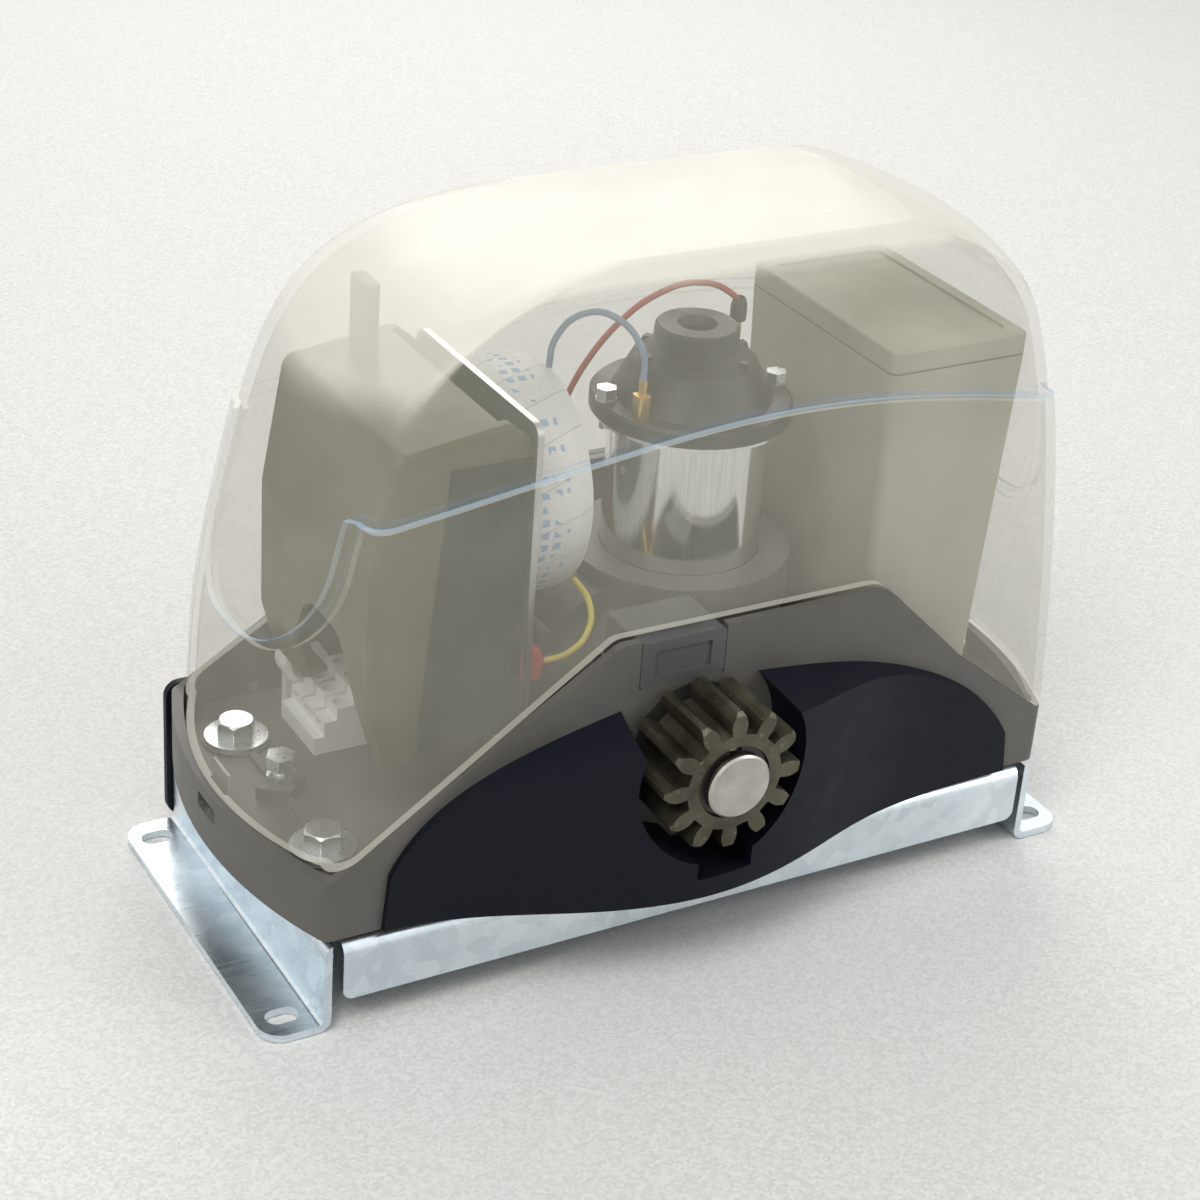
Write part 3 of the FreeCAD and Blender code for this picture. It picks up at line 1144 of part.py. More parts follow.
def control_base():
    """Dark tub of the control box: side walls, a floor with cable slots and board standoffs."""
    y0, y1 = BOX_Y
    left = BOX_X[0] + TUB_SETBACK
    right = PLATE_X[0]
    low = TUB_FLOOR
    body = prism("xz", tub_side(low), y0, y1)
    room = slab("xz", (left - 1, right - BOX_WALL), (low + BOX_WALL, BOX_Z[1]),
                (y0 + BOX_WALL, y1 - BOX_WALL))
    foot = slab("xz", (left, right), (BOX_Z[0] + 4, low), (y0, y0 + BOX_WALL))
    body = fuse(body.cut(room), foot)
    floor_slots = [slab("xy", (left + 6, left + 14), (y, y + 10), (low - 1, low + 4), 3)
                   for y in (-20, 0, 20)]
    bolt_room = rod(9, right - BOX_WALL - 1, right + 1, "x", (COIL_Y, COIL_Z))
    body = cut(body, bolt_room, *floor_slots)
    posts = [rod(3.5, BOARD_X + BOARD_THICK, right - BOX_WALL + 0.5, "x", place)
             for place in board_hole_places()]
    return fuse(body, *posts)


def board_hole_places():
    """The board's four fixing holes."""
    return [(y, z) for y in (BOARD_Y[0] + 6, BOARD_Y[1] - 6) for z in (BOARD_Z[0] + 6, BOARD_Z[1] - 13)]


def circuit_board():
    """Control board, upright, with its fixing holes."""
    body = slab("yz", BOARD_Y, BOARD_Z, (BOARD_X, BOARD_X + BOARD_THICK), 2)
    holes = [rod(1.7, BOARD_X - 1, BOARD_X + 3, "x", place) for place in board_hole_places()]
    return cut(body, *holes)


def board_screws():
    """Pan-head screws that hold the board to its standoffs."""
    return [rod(3, BOARD_X - 2, BOARD_X, "x", place).fuse(rod(1.5, BOARD_X - 1, BOARD_X + 1.5, "x", place))
            for place in board_hole_places()]


def board_relays():
    """Two relays near the board's front edge."""
    return [slab("yz", (-24, -8), (z, z + 19), (BOARD_X - 16, BOARD_X), 0.8) for z in (150, 124)]


def board_terminals():
    """Row of plug-in screw terminals along the board's lower edge."""
    count = 7
    pitch = 7.5
    first = -13.0
    low = BOARD_Z[0] + 2
    strip = slab("yz", (first, first + count * pitch), (low, low + 12), (BOARD_X - 12, BOARD_X))
    tools = []
    for pole in range(count):
        middle = first + (pole + 0.5) * pitch
        tools.append(rod(2.2, BOARD_X - 13, BOARD_X - 8, "x", (middle, low + 7.5)))
        tools.append(slab("yz", (middle - 2.2, middle + 2.2), (low - 1, low + 3.5),
                          (BOARD_X - 10, BOARD_X - 3)))
    return cut(strip, *tools)


def board_capacitor():
    """Smoothing capacitor standing off the board."""
    y, z = CAPACITOR_PLACE
    top = BOARD_X - 22
    body = rod(9, top, BOARD_X, "x", CAPACITOR_PLACE)
    return cut(body, slab("yz", (y - 9, y + 9), (z - 0.4, z + 0.4), (top - 1, top + 0.6)),
               slab("yz", (y - 0.4, y + 0.4), (z - 9, z + 9), (top - 1, top + 0.6)))


def radio_receiver():
    """Plug-in receiver card that stands up through the lid's slot."""
    card = slab("xy", (RECEIVER_X - 0.7, RECEIVER_X + 0.7), (28, 40), (150, BOX_Z[1] + 28), 0.5)
    housing = slab("xy", (RECEIVER_X - 2.8, RECEIVER_X + 2.8), (27, 41), (BOX_Z[1] - 6, BOX_Z[1] + 28), 1)
    return fuse(card, housing)


def receiver_socket():
    """Bracket that carries the receiver card off the board."""
    body = slab("xz", (RECEIVER_X - 3.1, BOARD_X), (144, 156), (29, 39), 1)
    return cut(body, slab("xy", (RECEIVER_X - 0.8, RECEIVER_X + 0.8), (27.9, 40.1), (149.7, 160)))


def mains_terminal_block():
    """Three-pole supply terminal block with stepped entries, on the left tray."""
    x0, x1 = TERMINAL_X
    y0, y1 = TERMINAL_Y
    steps = [(x0, FLOOR_Z), (x1, FLOOR_Z), (x1, FLOOR_Z + 22), (x1 - 9, FLOOR_Z + 22),
             (x1 - 9, FLOOR_Z + 18), (x0 + 9, FLOOR_Z + 18), (x0 + 9, FLOOR_Z + 13), (x0 + 4, FLOOR_Z + 13),
             (x0 + 4, FLOOR_Z + 7), (x0, FLOOR_Z + 7)]
    body = prism("xz", steps, y0, y1)
    pitch = (y1 - y0) / POLES
    tools = []
    for pole in range(POLES):
        middle = y0 + (pole + 0.5) * pitch
        tools.append(rod(2.6, FLOOR_Z + 8, FLOOR_Z + 25, "z", (x1 - 4.5, middle)))
        tools.append(rod(2.6, FLOOR_Z + 8, FLOOR_Z + 25, "z", (x0 + 12.5, middle)))
        tools.append(slab("yz", (middle - 3, middle + 3), (FLOOR_Z + 8.5, FLOOR_Z + 12), (x0 + 1, x0 + 12)))
    for gap in range(1, POLES):
        level = y0 + gap * pitch
        tools.append(slab("xz", (x0 - 1, x1 + 1), (FLOOR_Z + 10, FLOOR_Z + 30), (level - 0.6, level + 0.6)))
    return cut(body, *tools)


def terminal_screws():
    """Clamping screws down in the terminal block's wells."""
    y0, y1 = TERMINAL_Y
    pitch = (y1 - y0) / POLES
    screws = []
    for x in (TERMINAL_X[1] - 4.5, TERMINAL_X[0] + 12.5):
        for pole in range(POLES):
            place = (x, y0 + (pole + 0.5) * pitch)
            screw = rod(2.3, FLOOR_Z + 8, FLOOR_Z + 15, "z", place)
            slot = slab("xy", (x - 3, x + 3), (place[1] - 0.35, place[1] + 0.35), (FLOOR_Z + 14, FLOOR_Z + 16))
            screws.append(screw.cut(slot))
    return screws


def cable_clamp():
    """Saddle on a post that takes the supply cable under the control box."""
    x, z = SADDLE_PLACE
    front = TERMINAL_Y[1] + 1.5
    back = front + SADDLE_LENGTH
    post = slab("xz", (x - 6, x + 6), (FLOOR_Z, z), (back - 4, back))
    saddle = rod(SADDLE_R, front, back, "y", SADDLE_PLACE)
    above = slab("xz", (x - 2 * SADDLE_R, x + 2 * SADDLE_R), (z + 3, z + 2 * SADDLE_R),
                 (front - 1, back + 1))
    return cut(fuse(post, saddle), above, rod(SADDLE_R - 2.8, front - 1, back + 1, "y", SADDLE_PLACE))


def battery_cradle():
    """Low open frame that lifts the batteries over the casing's screws."""
    rooms = []
    for inset, top, radius in ((0, CRADLE_TOP, 4), (3, CRADLE_TOP - 3, 3), (11, CRADLE_TOP + 1, 5)):
        x_range = (BATTERY_X[0] + 6 + inset, BATTERY_X[1] - 12 - inset)
        y_range = (BATTERY_Y[0] + 4 + inset, BATTERY_Y[1] - 4 - inset)
        rooms.append(slab("xy", x_range, y_range, (FLOOR_Z - (1 if inset else 0), top), radius))
    return cut(*rooms)


def battery_case():
    """Battery pack's case, a little narrower at its foot."""
    wires = []
    for level, grow in ((CRADLE_TOP, 0.0), (BATTERY_TOP - BATTERY_LID, 1.0)):
        u0 = BATTERY_X[0] + 4 * (1 - grow)
        u1 = BATTERY_X[1] - 6 * (1 - grow)
        v0 = BATTERY_Y[0] + 2.5 * (1 - grow)
        v1 = BATTERY_Y[1] - 2.5 * (1 - grow)
        corners = [(u0, v0, 3), (u1, v0, 3), (u1, v1, 3), (u0, v1, 3)]
        wires.append(outline("xy", corners, level))
    return Part.makeLoft(wires, True, True)


def battery_lid():
    """Lid of the battery pack, with a shallow panel in its top and a narrow joint below it."""
    base = BATTERY_TOP - BATTERY_LID
    body = slab("xy", BATTERY_X, BATTERY_Y, (base + 0.8, BATTERY_TOP), 3)
    rim = edges_where(body, lambda p: abs(p.z - BATTERY_TOP) < 0.01)
    body = body.makeFillet(1.2, rim)
    neck = slab("xy", (BATTERY_X[0] + 1, BATTERY_X[1] - 1), (BATTERY_Y[0] + 1, BATTERY_Y[1] - 1),
                (base, base + 1), 3)
    panel = slab("xy", (BATTERY_X[0] + 6, BATTERY_X[1] - 6), (BATTERY_Y[0] + 6, BATTERY_Y[1] - 6),
                 (BATTERY_TOP - 0.8, BATTERY_TOP + 1), 3)
    return fuse(body, neck).cut(panel)


def red_plug():
    """Push-on plug at the front edge of the mounting plate."""
    x = PLATE_X[0]
    body = slab("xz", (x, x + 8), PLUG_Z, PLUG_Y, 1.5)
    collar = rod(2.4, x + 8, x + 10, "x", (-36.5, 109))
    return fuse(body, collar)


def lead(points):
    """A wire's tube: straight runs joined by arcs as large as the runs allow."""
    spots = [Vector(*point) for point in points]
    path = []
    last_end = spots[0]
    for index in range(1, len(spots) - 1):
        back = spots[index - 1] - spots[index]
        onward = spots[index + 1] - spots[index]
        reach = 0.45 * min(back.Length, onward.Length)
        back.normalize()
        onward.normalize()
        half_angle = back.getAngle(onward) / 2
        radius = reach * math.tan(half_angle)
        print("wire radius", round(radius, 1))
        start = spots[index] + back * reach
        end = spots[index] + onward * reach
        inward = (back + onward).normalize()
        middle = spots[index] + inward * (radius / math.sin(half_angle) - radius)
        path.append(Part.LineSegment(last_end, start).toShape())
        path.append(Part.Arc(start, middle, end).toShape())
        last_end = end
    path.append(Part.LineSegment(last_end, spots[-1]).toShape())
    spine = Part.Wire(path)
    start_way = (spots[1] - spots[0]).normalize()
    section = Part.Wire(Part.makeCircle(WIRE_R, spots[0], start_way))
    tube = spine.makePipeShell([section], True, False)
    print("wire length", round(spine.Length, 1), "volume error",
          round(tube.Volume / (math.pi * WIRE_R ** 2 * spine.Length) - 1, 4))
    return tube


def blue_wire():
    """Motor lead arched from the left brass terminal to the transformer's rim."""
    x = MOTOR_X - 28.5
    end_y = COIL_Y - 7.5
    rim_z = COIL_Z + math.sqrt(COIL_R ** 2 - (COIL_Y - end_y - WIRE_R) ** 2)
    return lead([(x, MOTOR_Y - 12, 202), (x, MOTOR_Y - 12, 212), (x - 5, -10, 222), (x - 14, -4, 227),
                 (x - 23, 1, 223), (x - 28, 4, 213), (x - 28, end_y, rim_z)])


def red_wire():
    """Motor lead from the right brass terminal, behind the motor and under the transformer."""
    x = MOTOR_X + 26.5
    return lead([(x, MOTOR_Y + 14, 207), (x, MOTOR_Y + 14, 215), (x - 8, 16, 221), (x - 21, 19, 222),
                 (x - 35, 23, 215), (x - 46, 28, 202), (x - 54, 33, 186), (x - 60, 37, 167),
                 (x - 64, 40, 147), (x - 69, 42, 128), (x - 78, 42, 114), (x - 91, 42, 107),
                 (PLATE_X[1], 42, 107)])


def yellow_wire():
    """Transformer lead looped back from the red plug."""
    x = PLATE_X[0] + 10
    return lead([(x, -36.5, 109), (x + 9, -36.5, 109), (x + 19, -33, 111), (x + 25, -28, 117),
                 (x + 25, -23, 124), (x + 20.5, -19.5, 130)])


# ---- rear panel and cover -----------------------------------------------------------------------

REAR_PANEL_Y = PLATE_HALF_Y + SKIRT_OUTSET + SEAT_GAP
REAR_PANEL_THICK = 3.0
REAR_PANEL_HALF_X = PLATE_HALF_X + 2.0
# level, how far the left end, right end, front and back stand out from the casing's, and the ends' bow
COVER_SECTIONS = (
    (40, 0.5, 4.5, 0.5, 15.0),
    (100, -3.5, 3.5, -2.5, 15.0),
    (150, -10.0, 0.5, -6.5, 14.5),
    (190, -18.0, -4.5, -10.0, 14.0),
    (218, -27.0, -11.0, -12.7, 13.0),
    (238, -41.0, -20.5, -15.0, 11.0),
    (250, -58.0, -32.0, -18.0, 8.5),
    (258, -81.0, -45.0, -22.0, 6.0),
    (263, -110.0, -64.0, -28.0, 4.0),
)
SEAM_LEFT = 188.0
SEAM_MIDDLE = 204.0
SEAM_RIGHT = 192.0
DIP_BOTTOM = 130.0
DIP_HALF = 47.0


def cover_wire(level, left, right, depth, bow, inset):
    """One level of the cover in plan: flat front and back, bowed ends and round corners."""
    x0 = -(CASE_HALF_X + left) + inset
    x1 = CASE_HALF_X + right - inset
    y = CASE_HALF_Y + depth - inset
    r = COVER_CORNER - inset
    knee = r * (1 - math.sqrt(0.5))
    points = [
        (x0, r - y), (x0 - bow, 0), (x0, y - r), (x0 + knee * 0.8, y - knee), (x0 + r, y),
        (x1 - r, y), (x1 - knee * 0.8, y - knee), (x1, y - r), (x1 + bow, 0), (x1, r - y),
        (x1 - knee * 0.8, knee - y), (x1 - r, -y), (x0 + r, -y), (x0 + knee * 0.8, knee - y),
    ]
    spots = [Vector(u, v, level) for u, v in points]
    arcs = [spots[0:3], spots[2:5], spots[5:8], spots[7:10], spots[9:12], [spots[12], spots[13], spots[0]]]
    edges = [Part.Arc(*arc).toShape() for arc in arcs]
    edges.insert(2, Part.LineSegment(spots[4], spots[5]).toShape())
    edges.insert(6, Part.LineSegment(spots[11], spots[12]).toShape())
    return Part.Wire(edges)


def cover_loft(inset):
    """The cover's whole form at one depth in its wall: leaning walls that roll over into the top."""
    wires = [cover_wire(level - inset, left, right, depth, bow, inset)
             for level, left, right, depth, bow in COVER_SECTIONS]
    return Part.makeLoft(wires, True, False)


def below_seam(drop):
    """The room under the seam: a slow wave along the front, with a dip in each end wall."""
    wave = Part.BSplineCurve()
    wave.interpolate([Vector(x, -90, z - drop) for x, z in
                      ((-190, SEAM_LEFT - 6), (-119, SEAM_LEFT), (-60, SEAM_LEFT + 8), (30, SEAM_MIDDLE),
                       (90, SEAM_MIDDLE - 4), (140, SEAM_RIGHT), (190, SEAM_RIGHT - 8))])
    low_left = Vector(-190, -90, 20)
    low_right = Vector(190, -90, 20)
    lines = [(wave.EndPoint, low_right), (low_right, low_left), (low_left, wave.StartPoint)]
    edges = [wave.toShape()] + [Part.LineSegment(a, b).toShape() for a, b in lines]
    room = Part.Face(Part.Wire(edges)).extrude(Vector(0, 180, 0))
    dips = []
    for span in ((-200, -100), (112, 200)):
        dip = [(-DIP_HALF - drop, DIP_BOTTOM - drop, 38), (DIP_HALF + drop, DIP_BOTTOM - drop, 38),
               (DIP_HALF + drop, 260), (-DIP_HALF - drop, 260)]
        dips.append(prism("yz", dip, span[0], span[1]))
    return cut(room, *dips)


def cover_mass(inset, drop):
    """The cover's full form at one depth in its wall, stepped in above the seam."""
    under = below_seam(drop)
    lower = cover_loft(inset).common(under)
    upper = cover_loft(inset + COVER_STEP)
    return fuse(lower, upper)


def cover():
    """Lift-off cover: a thin crowned dome whose lower edge follows the casing's brow."""
    body = cover_mass(0.0, 0.0).cut(cover_mass(COVER_WALL, COVER_WALL))
    foot = [(230, 20), (-230, 20)]
    below = prism("xz", brow_outline(COVER_GAP) + foot, -100, 100)
    body = body.cut(below)
    tabs = []
    within = cover_loft(COVER_WALL / 2)
    for side in (-1, 1):
        inner_face = CASE_HALF_X + CASE_BOW - CASE_WALL - 0.9
        x = sorted((side * inner_face, side * (inner_face - TAB_THICK)))
        y = (-TAB_HALF + 1, TAB_HALF - 1)
        tabs.append(slab("xy", x, y, (RIM_Z - TAB_DEPTH + 8, RIM_Z + 8), 0.6))
        x = sorted((side * (inner_face - TAB_THICK), side * (inner_face + 12)))
        tabs.append(slab("xy", x, y, (RIM_Z + 3, RIM_Z + 8)).common(within))
    return fuse(body, *tabs)


def rear_panel():
    """Flat moulded panel behind the base plate, down nearly to the ground."""
    y0 = REAR_PANEL_Y
    body = slab("xz", (-REAR_PANEL_HALF_X, REAR_PANEL_HALF_X), (3, RIM_Z),
                (y0, y0 + REAR_PANEL_THICK), 6)
    bosses = [rod(5, CASE_HALF_Y, y0 + 1, "y", place) for place in REAR_SCREWS]
    holes = [rod(2.2, CASE_HALF_Y - 1, y0 + 9, "y", place) for place in REAR_SCREWS]
    return cut(fuse(body, *bosses), *holes)


def rear_panel_screws():
    """Screws of the rear panel, into the casing's back wall."""
    top = REAR_PANEL_Y + REAR_PANEL_THICK
    return [fuse(rod(4, top, top + 2.2, "y", place), rod(2, CASE_HALF_Y - CASE_WALL, top, "y", place))
            for place in REAR_SCREWS]


# ---- all nodes ----------------------------------------------------------------------------------

NODES = (
    base_plate, holddown_bolts, holddown_washers, holddown_nuts, levelling_screws, levelling_nuts,
    casing, gearbox_cover, gearbox_screws, front_bearing, rear_bearing, shaft_seal, rotor_bearings,
    limit_sensor, front_panel, output_shaft, shaft_keys, pinion, pinion_clip, worm_wheel,
    clutch_sleeve, release_spindle, clutch_fork, motor_can, magnets, motor_end_cap, cap_screws,
    motor_terminals, brush_holder, brushes, worm_shaft, armature_core, armature_windings,
    commutator, mounting_plate, transformer, transformer_cup, transformer_bolt, control_lid,
    control_base, circuit_board, board_screws, board_relays, board_terminals, board_capacitor,
    radio_receiver, receiver_socket, mains_terminal_block, terminal_screws, cable_clamp,
    battery_cradle, battery_case, battery_lid, red_plug, blue_wire, red_wire, yellow_wire, cover,
    rear_panel, rear_panel_screws,
)


def main():
    """Write one STEP file per node."""
    os.makedirs("parts", exist_ok=True)
    for make in NODES:
        made = make()
        solids = made if isinstance(made, list) else [made]
        solids = [solid for shape in solids for solid in shape.Solids]
        shape = solids[0] if len(solids) == 1 else Part.makeCompound(solids)
        shape.exportStep(os.path.join("parts", make.__name__ + ".step"))


main()
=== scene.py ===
import bmesh
import bpy
import json
import math
from mathutils import Matrix, Vector

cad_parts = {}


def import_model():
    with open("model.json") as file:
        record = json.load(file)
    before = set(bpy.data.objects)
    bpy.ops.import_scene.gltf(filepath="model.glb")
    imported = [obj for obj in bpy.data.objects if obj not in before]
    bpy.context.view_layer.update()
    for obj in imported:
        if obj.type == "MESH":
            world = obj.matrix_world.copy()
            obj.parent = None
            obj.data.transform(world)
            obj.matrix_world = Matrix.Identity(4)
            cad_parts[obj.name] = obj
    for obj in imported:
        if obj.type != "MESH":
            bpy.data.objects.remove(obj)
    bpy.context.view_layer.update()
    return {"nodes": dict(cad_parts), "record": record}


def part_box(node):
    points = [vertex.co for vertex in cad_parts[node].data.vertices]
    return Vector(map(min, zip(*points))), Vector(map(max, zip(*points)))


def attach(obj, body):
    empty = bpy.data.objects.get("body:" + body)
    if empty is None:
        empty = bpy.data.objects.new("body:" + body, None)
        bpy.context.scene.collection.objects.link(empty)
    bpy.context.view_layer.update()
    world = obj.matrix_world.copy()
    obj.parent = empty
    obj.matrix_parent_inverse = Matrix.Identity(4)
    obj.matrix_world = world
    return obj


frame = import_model()
NODES = frame["nodes"]
MM = 0.001

# The cover's seam line: a wave along x as (x, z) in mm, then the wide dip in each end wall.
SEAM_WAVE = ((-190, 182), (-119, 188), (-60, 196), (30, 204), (90, 200), (140, 192), (190, 184))
SEAM_TOP = 300 * MM
SEAM_LINE = (0.3 * MM, 0.9 * MM)
DIP_CENTRE_X = 6 * MM
DIP_FROM_X = 106 * MM
DIP_HALF_FLAT = 9 * MM
DIP_CENTRE_Z = 168 * MM
DIP_RADIUS = 38 * MM

# The wound transformer: laps of tape, columns of printed blocks and the band that they stand in.
TAPE_LAPS = 18
BLOCK_COLUMNS = 54
BLOCK_PITCH = 5.0 * MM
BAND_OFFSET = 3.0 * MM
BAND_HALF_WIDTH = 6.5 * MM

FLOOR_HALF = 6.0
FLOOR_LEVEL = -0.4 * MM
TURNED_SIDES = 40

CAMERA_PLACE = (-0.45727, -0.74104, 0.57407)
CAMERA_RIGHT = (0.87180275, -0.48533398, 0.06641454)
CAMERA_UP = (0.18065202, 0.44456233, 0.87734211)
CAMERA_FORWARD = (0.45532934, 0.75287135, -0.47524723)
LAMP_AIM = (0, 0, 0.1)


# ---- node graph helpers --------------------------------------------------------------------------

class Graph:
    """A material's node tree with short calls for the nodes that the materials share."""

    def __init__(self, name):
        self.material = bpy.data.materials.new(name)
        self.material.use_nodes = True
        self.tree = self.material.node_tree
        self.shader = self.tree.nodes["Principled BSDF"]
        self.place = self.node("ShaderNodeTexCoord").outputs["Object"]

    def node(self, kind, **settings):
        made = self.tree.nodes.new(kind)
        for key, value in settings.items():
            setattr(made, key, value)
        return made

    def link(self, source, target):
        self.tree.links.new(source, target)

    def stretched(self, scale=(1, 1, 1), origin=(0, 0, 0)):
        """Object coordinates about an origin, scaled along each axis."""
        shift = self.node("ShaderNodeVectorMath", operation="SUBTRACT")
        shift.inputs[1].default_value = origin
        self.link(self.place, shift.inputs[0])
        grow = self.node("ShaderNodeVectorMath", operation="MULTIPLY")
        grow.inputs[1].default_value = scale
        self.link(shift.outputs[0], grow.inputs[0])
        return grow.outputs[0]

    def noise(self, scale, detail=3.0, roughness=0.55, place=None):
        """Fractal noise from 0 to 1; scale is in features per metre."""
        made = self.node("ShaderNodeTexNoise")
        made.inputs["Scale"].default_value = scale
        made.inputs["Detail"].default_value = detail
        made.inputs["Roughness"].default_value = roughness
        self.link(place or self.place, made.inputs["Vector"])
        return made.outputs["Fac"]

    def cells(self, scale, output="Distance", place=None, feature="F1"):
        """Voronoi cells; scale is in cells per metre."""
        made = self.node("ShaderNodeTexVoronoi", feature=feature)
        made.inputs["Scale"].default_value = scale
        self.link(place or self.place, made.inputs["Vector"])
        return made.outputs[output]

    def remap(self, value, low, high, to_low, to_high):
        """A value's range moved to another range, clamped."""
        made = self.node("ShaderNodeMapRange")
        for index, number in enumerate((low, high, to_low, to_high)):
            made.inputs[index + 1].default_value = number
        self.link(value, made.inputs[0])
        return made.outputs[0]

    def eased(self, value, low, high, to_low, to_high):
        """A value's range moved to another range, clamped, with soft ends."""
        made = self.remap(value, low, high, to_low, to_high)
        made.node.interpolation_type = "SMOOTHSTEP"
        return made

    def math(self, operation, first, second=None):
        """One math step; each side is a socket or a number."""
        made = self.node("ShaderNodeMath", operation=operation)
        for index, side in enumerate((first, second)):
            if side is None:
                continue
            if isinstance(side, (int, float)):
                made.inputs[index].default_value = side
            else:
                self.link(side, made.inputs[index])
        return made.outputs[0]

    def blend(self, amount, first, second):
        """Two colours mixed by an amount; each is a colour or a socket."""
        made = self.node("ShaderNodeMix", data_type="RGBA")
        self.link(amount, made.inputs["Factor"])
        for socket, side in ((made.inputs[6], first), (made.inputs[7], second)):
            if isinstance(side, tuple):
                socket.default_value = (*side, 1.0)
            else:
                self.link(side, socket)
        return made.outputs[2]

    def axes(self, place=None):
        """The three coordinates as separate sockets."""
        made = self.node("ShaderNodeSeparateXYZ")
        self.link(place or self.place, made.inputs[0])
        return made.outputs

    def colour(self, socket):
        self.link(socket, self.shader.inputs["Base Color"])

    def rough(self, value, low, high):
        """Roughness that runs from low to high with a 0 to 1 value."""
        self.link(self.remap(value, 0.3, 0.7, low, high), self.shader.inputs["Roughness"])

    def bump(self, height, depth, strength=0.5):
        """Bump of a given depth in metres."""
        made = self.node("ShaderNodeBump")
        made.inputs["Strength"].default_value = strength
        made.inputs["Distance"].default_value = depth
        self.link(height, made.inputs["Height"])
        self.link(made.outputs[0], self.shader.inputs["Normal"])

    def fixed(self, **values):
        """Values that are the same all over the surface, set on the shader's own sockets."""
        for key, value in values.items():
            self.shader.inputs[key.replace("_", " ")].default_value = value


def centre_of(node):
    """The middle of a CAD node's box."""
    low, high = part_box(node)
    return tuple((low + high) / 2)


def shade(colour, factor):
    """A colour made lighter or darker."""
    return tuple(min(1.0, channel * factor) for channel in colour)


# ---- materials -----------------------------------------------------------------------------------

def sheet_metal(name, base, low, high, grain=(1, 1, 1), spread=0.1, depth=0.02 * MM):
    """Plated or rolled metal: faint cloudy patches, fine streaks along the grain and light scuffs."""
    g = Graph(name)
    clouds = g.noise(34, 4)
    streaks = g.noise(900, 3, 0.6, g.stretched(grain))
    scuffs = g.noise(260, 5, 0.7)
    both = g.math("ADD", g.math("MULTIPLY", clouds, 0.6), g.math("MULTIPLY", streaks, 0.4))
    g.colour(g.blend(g.remap(both, 0.35, 0.65, 0, 1), shade(base, 1 - spread), shade(base, 1 + spread)))
    g.rough(g.math("ADD", g.math("MULTIPLY", scuffs, 0.5), g.math("MULTIPLY", streaks, 0.5)), low, high)
    g.bump(streaks, depth, 0.4)
    g.fixed(Metallic=1.0)
    return g.material


def zinc_sheet(name):
    """Bright zinc with a cool cast, faint spangle and the drawing marks of the bends."""
    g = Graph(name)
    spangle = g.cells(160, "Color")
    spangle_level = g.axes(spangle)[0]
    clouds = g.noise(22, 4)
    drawn = g.noise(700, 2, 0.5, g.stretched((0.04, 1, 1)))
    mixed = g.math("ADD", g.math("MULTIPLY", spangle_level, 0.25), g.math("MULTIPLY", clouds, 0.75))
    g.colour(g.blend(g.remap(mixed, 0.3, 0.7, 0, 1), (0.62, 0.70, 0.76), (0.82, 0.90, 0.94)))
    g.rough(g.math("ADD", g.math("MULTIPLY", drawn, 0.4), g.math("MULTIPLY", clouds, 0.6)), 0.22, 0.38)
    g.bump(drawn, 0.015 * MM, 0.4)
    g.fixed(Metallic=1.0)
    return g.material


def cast_paint(name, base):
    """Painted die casting: orange peel, fine pits and a dusting that gathers in patches."""
    g = Graph(name)
    peel = g.noise(750, 3, 0.5)
    dust = g.noise(26, 5, 0.65)
    pits = g.remap(g.cells(1400), 0.0, 0.25, 0.0, 1.0)
    speck = g.noise(2600, 2, 0.5)
    tone = g.blend(g.remap(dust, 0.4, 0.68, 0, 1), shade(base, 0.9), shade(base, 1.16))
    g.colour(g.blend(g.remap(speck, 0.3, 0.7, 0.0, 0.35), tone, shade(base, 0.72)))
    g.rough(dust, 0.42, 0.6)
    g.bump(g.math("ADD", peel, g.math("MULTIPLY", pits, 0.3)), 0.08 * MM, 0.5)
    g.fixed(Metallic=0.0)
    return g.material


def moulded(name, base, low=0.35, high=0.5, grain=1500, depth=0.04 * MM, spread=0.12, coat=0.0,
            gloss=0.5):
    """Moulded plastic: fine spark-eroded grain, soft flow marks and a little wear in its gloss."""
    g = Graph(name)
    flow = g.noise(18, 3, 0.5, g.stretched((1, 1, 0.4)))
    fine = g.cells(grain)
    handling = g.noise(70, 4, 0.7)
    g.colour(g.blend(g.remap(flow, 0.35, 0.65, 0, 1), shade(base, 1 - spread), shade(base, 1 + spread)))
    g.rough(handling, low, high)
    g.bump(fine, depth, 0.4)
    g.fixed(Coat_Weight=coat, Coat_Roughness=0.15, Specular_IOR_Level=gloss)
    return g.material


def soft_rubber(name, base):
    """Rubber or wire insulation: dull sheen, faint dust and fine texture."""
    g = Graph(name)
    dust = g.noise(120, 4, 0.6)
    fine = g.noise(1800, 2)
    g.colour(g.blend(g.remap(dust, 0.35, 0.7, 0, 1), shade(base, 0.9), shade(base, 1.12)))
    g.rough(fine, 0.38, 0.55)
    g.bump(fine, 0.03 * MM, 0.4)
    return g.material


def wound_copper(name):
    """Enamelled copper wire: close turns seen as fine ridges, with painted shade in the grooves between
    turns and a painted highlight on their crowns.
    """
    g = Graph(name)
    x, y, z = g.axes(g.stretched(origin=centre_of("armature_windings")))
    turn = g.math("ARCTAN2", y, x)
    ridge_relief_and_shade = g.math("SINE", g.math("ADD", g.math("MULTIPLY", turn, 70.0), g.math("MULTIPLY", z, 1500.0)))
    level = g.remap(ridge_relief_and_shade, -1, 1, 0, 1)
    # Painted shade and highlight: the colour runs from dark in the grooves between turns to bright on
    # their crowns, following the bump.
    g.colour(g.blend(level, (0.30, 0.10, 0.03), (0.74, 0.34, 0.13)))
    g.rough(g.noise(400), 0.2, 0.35)
    g.bump(level, 0.25 * MM, 0.6)
    g.fixed(Metallic=0.85)
    return g.material


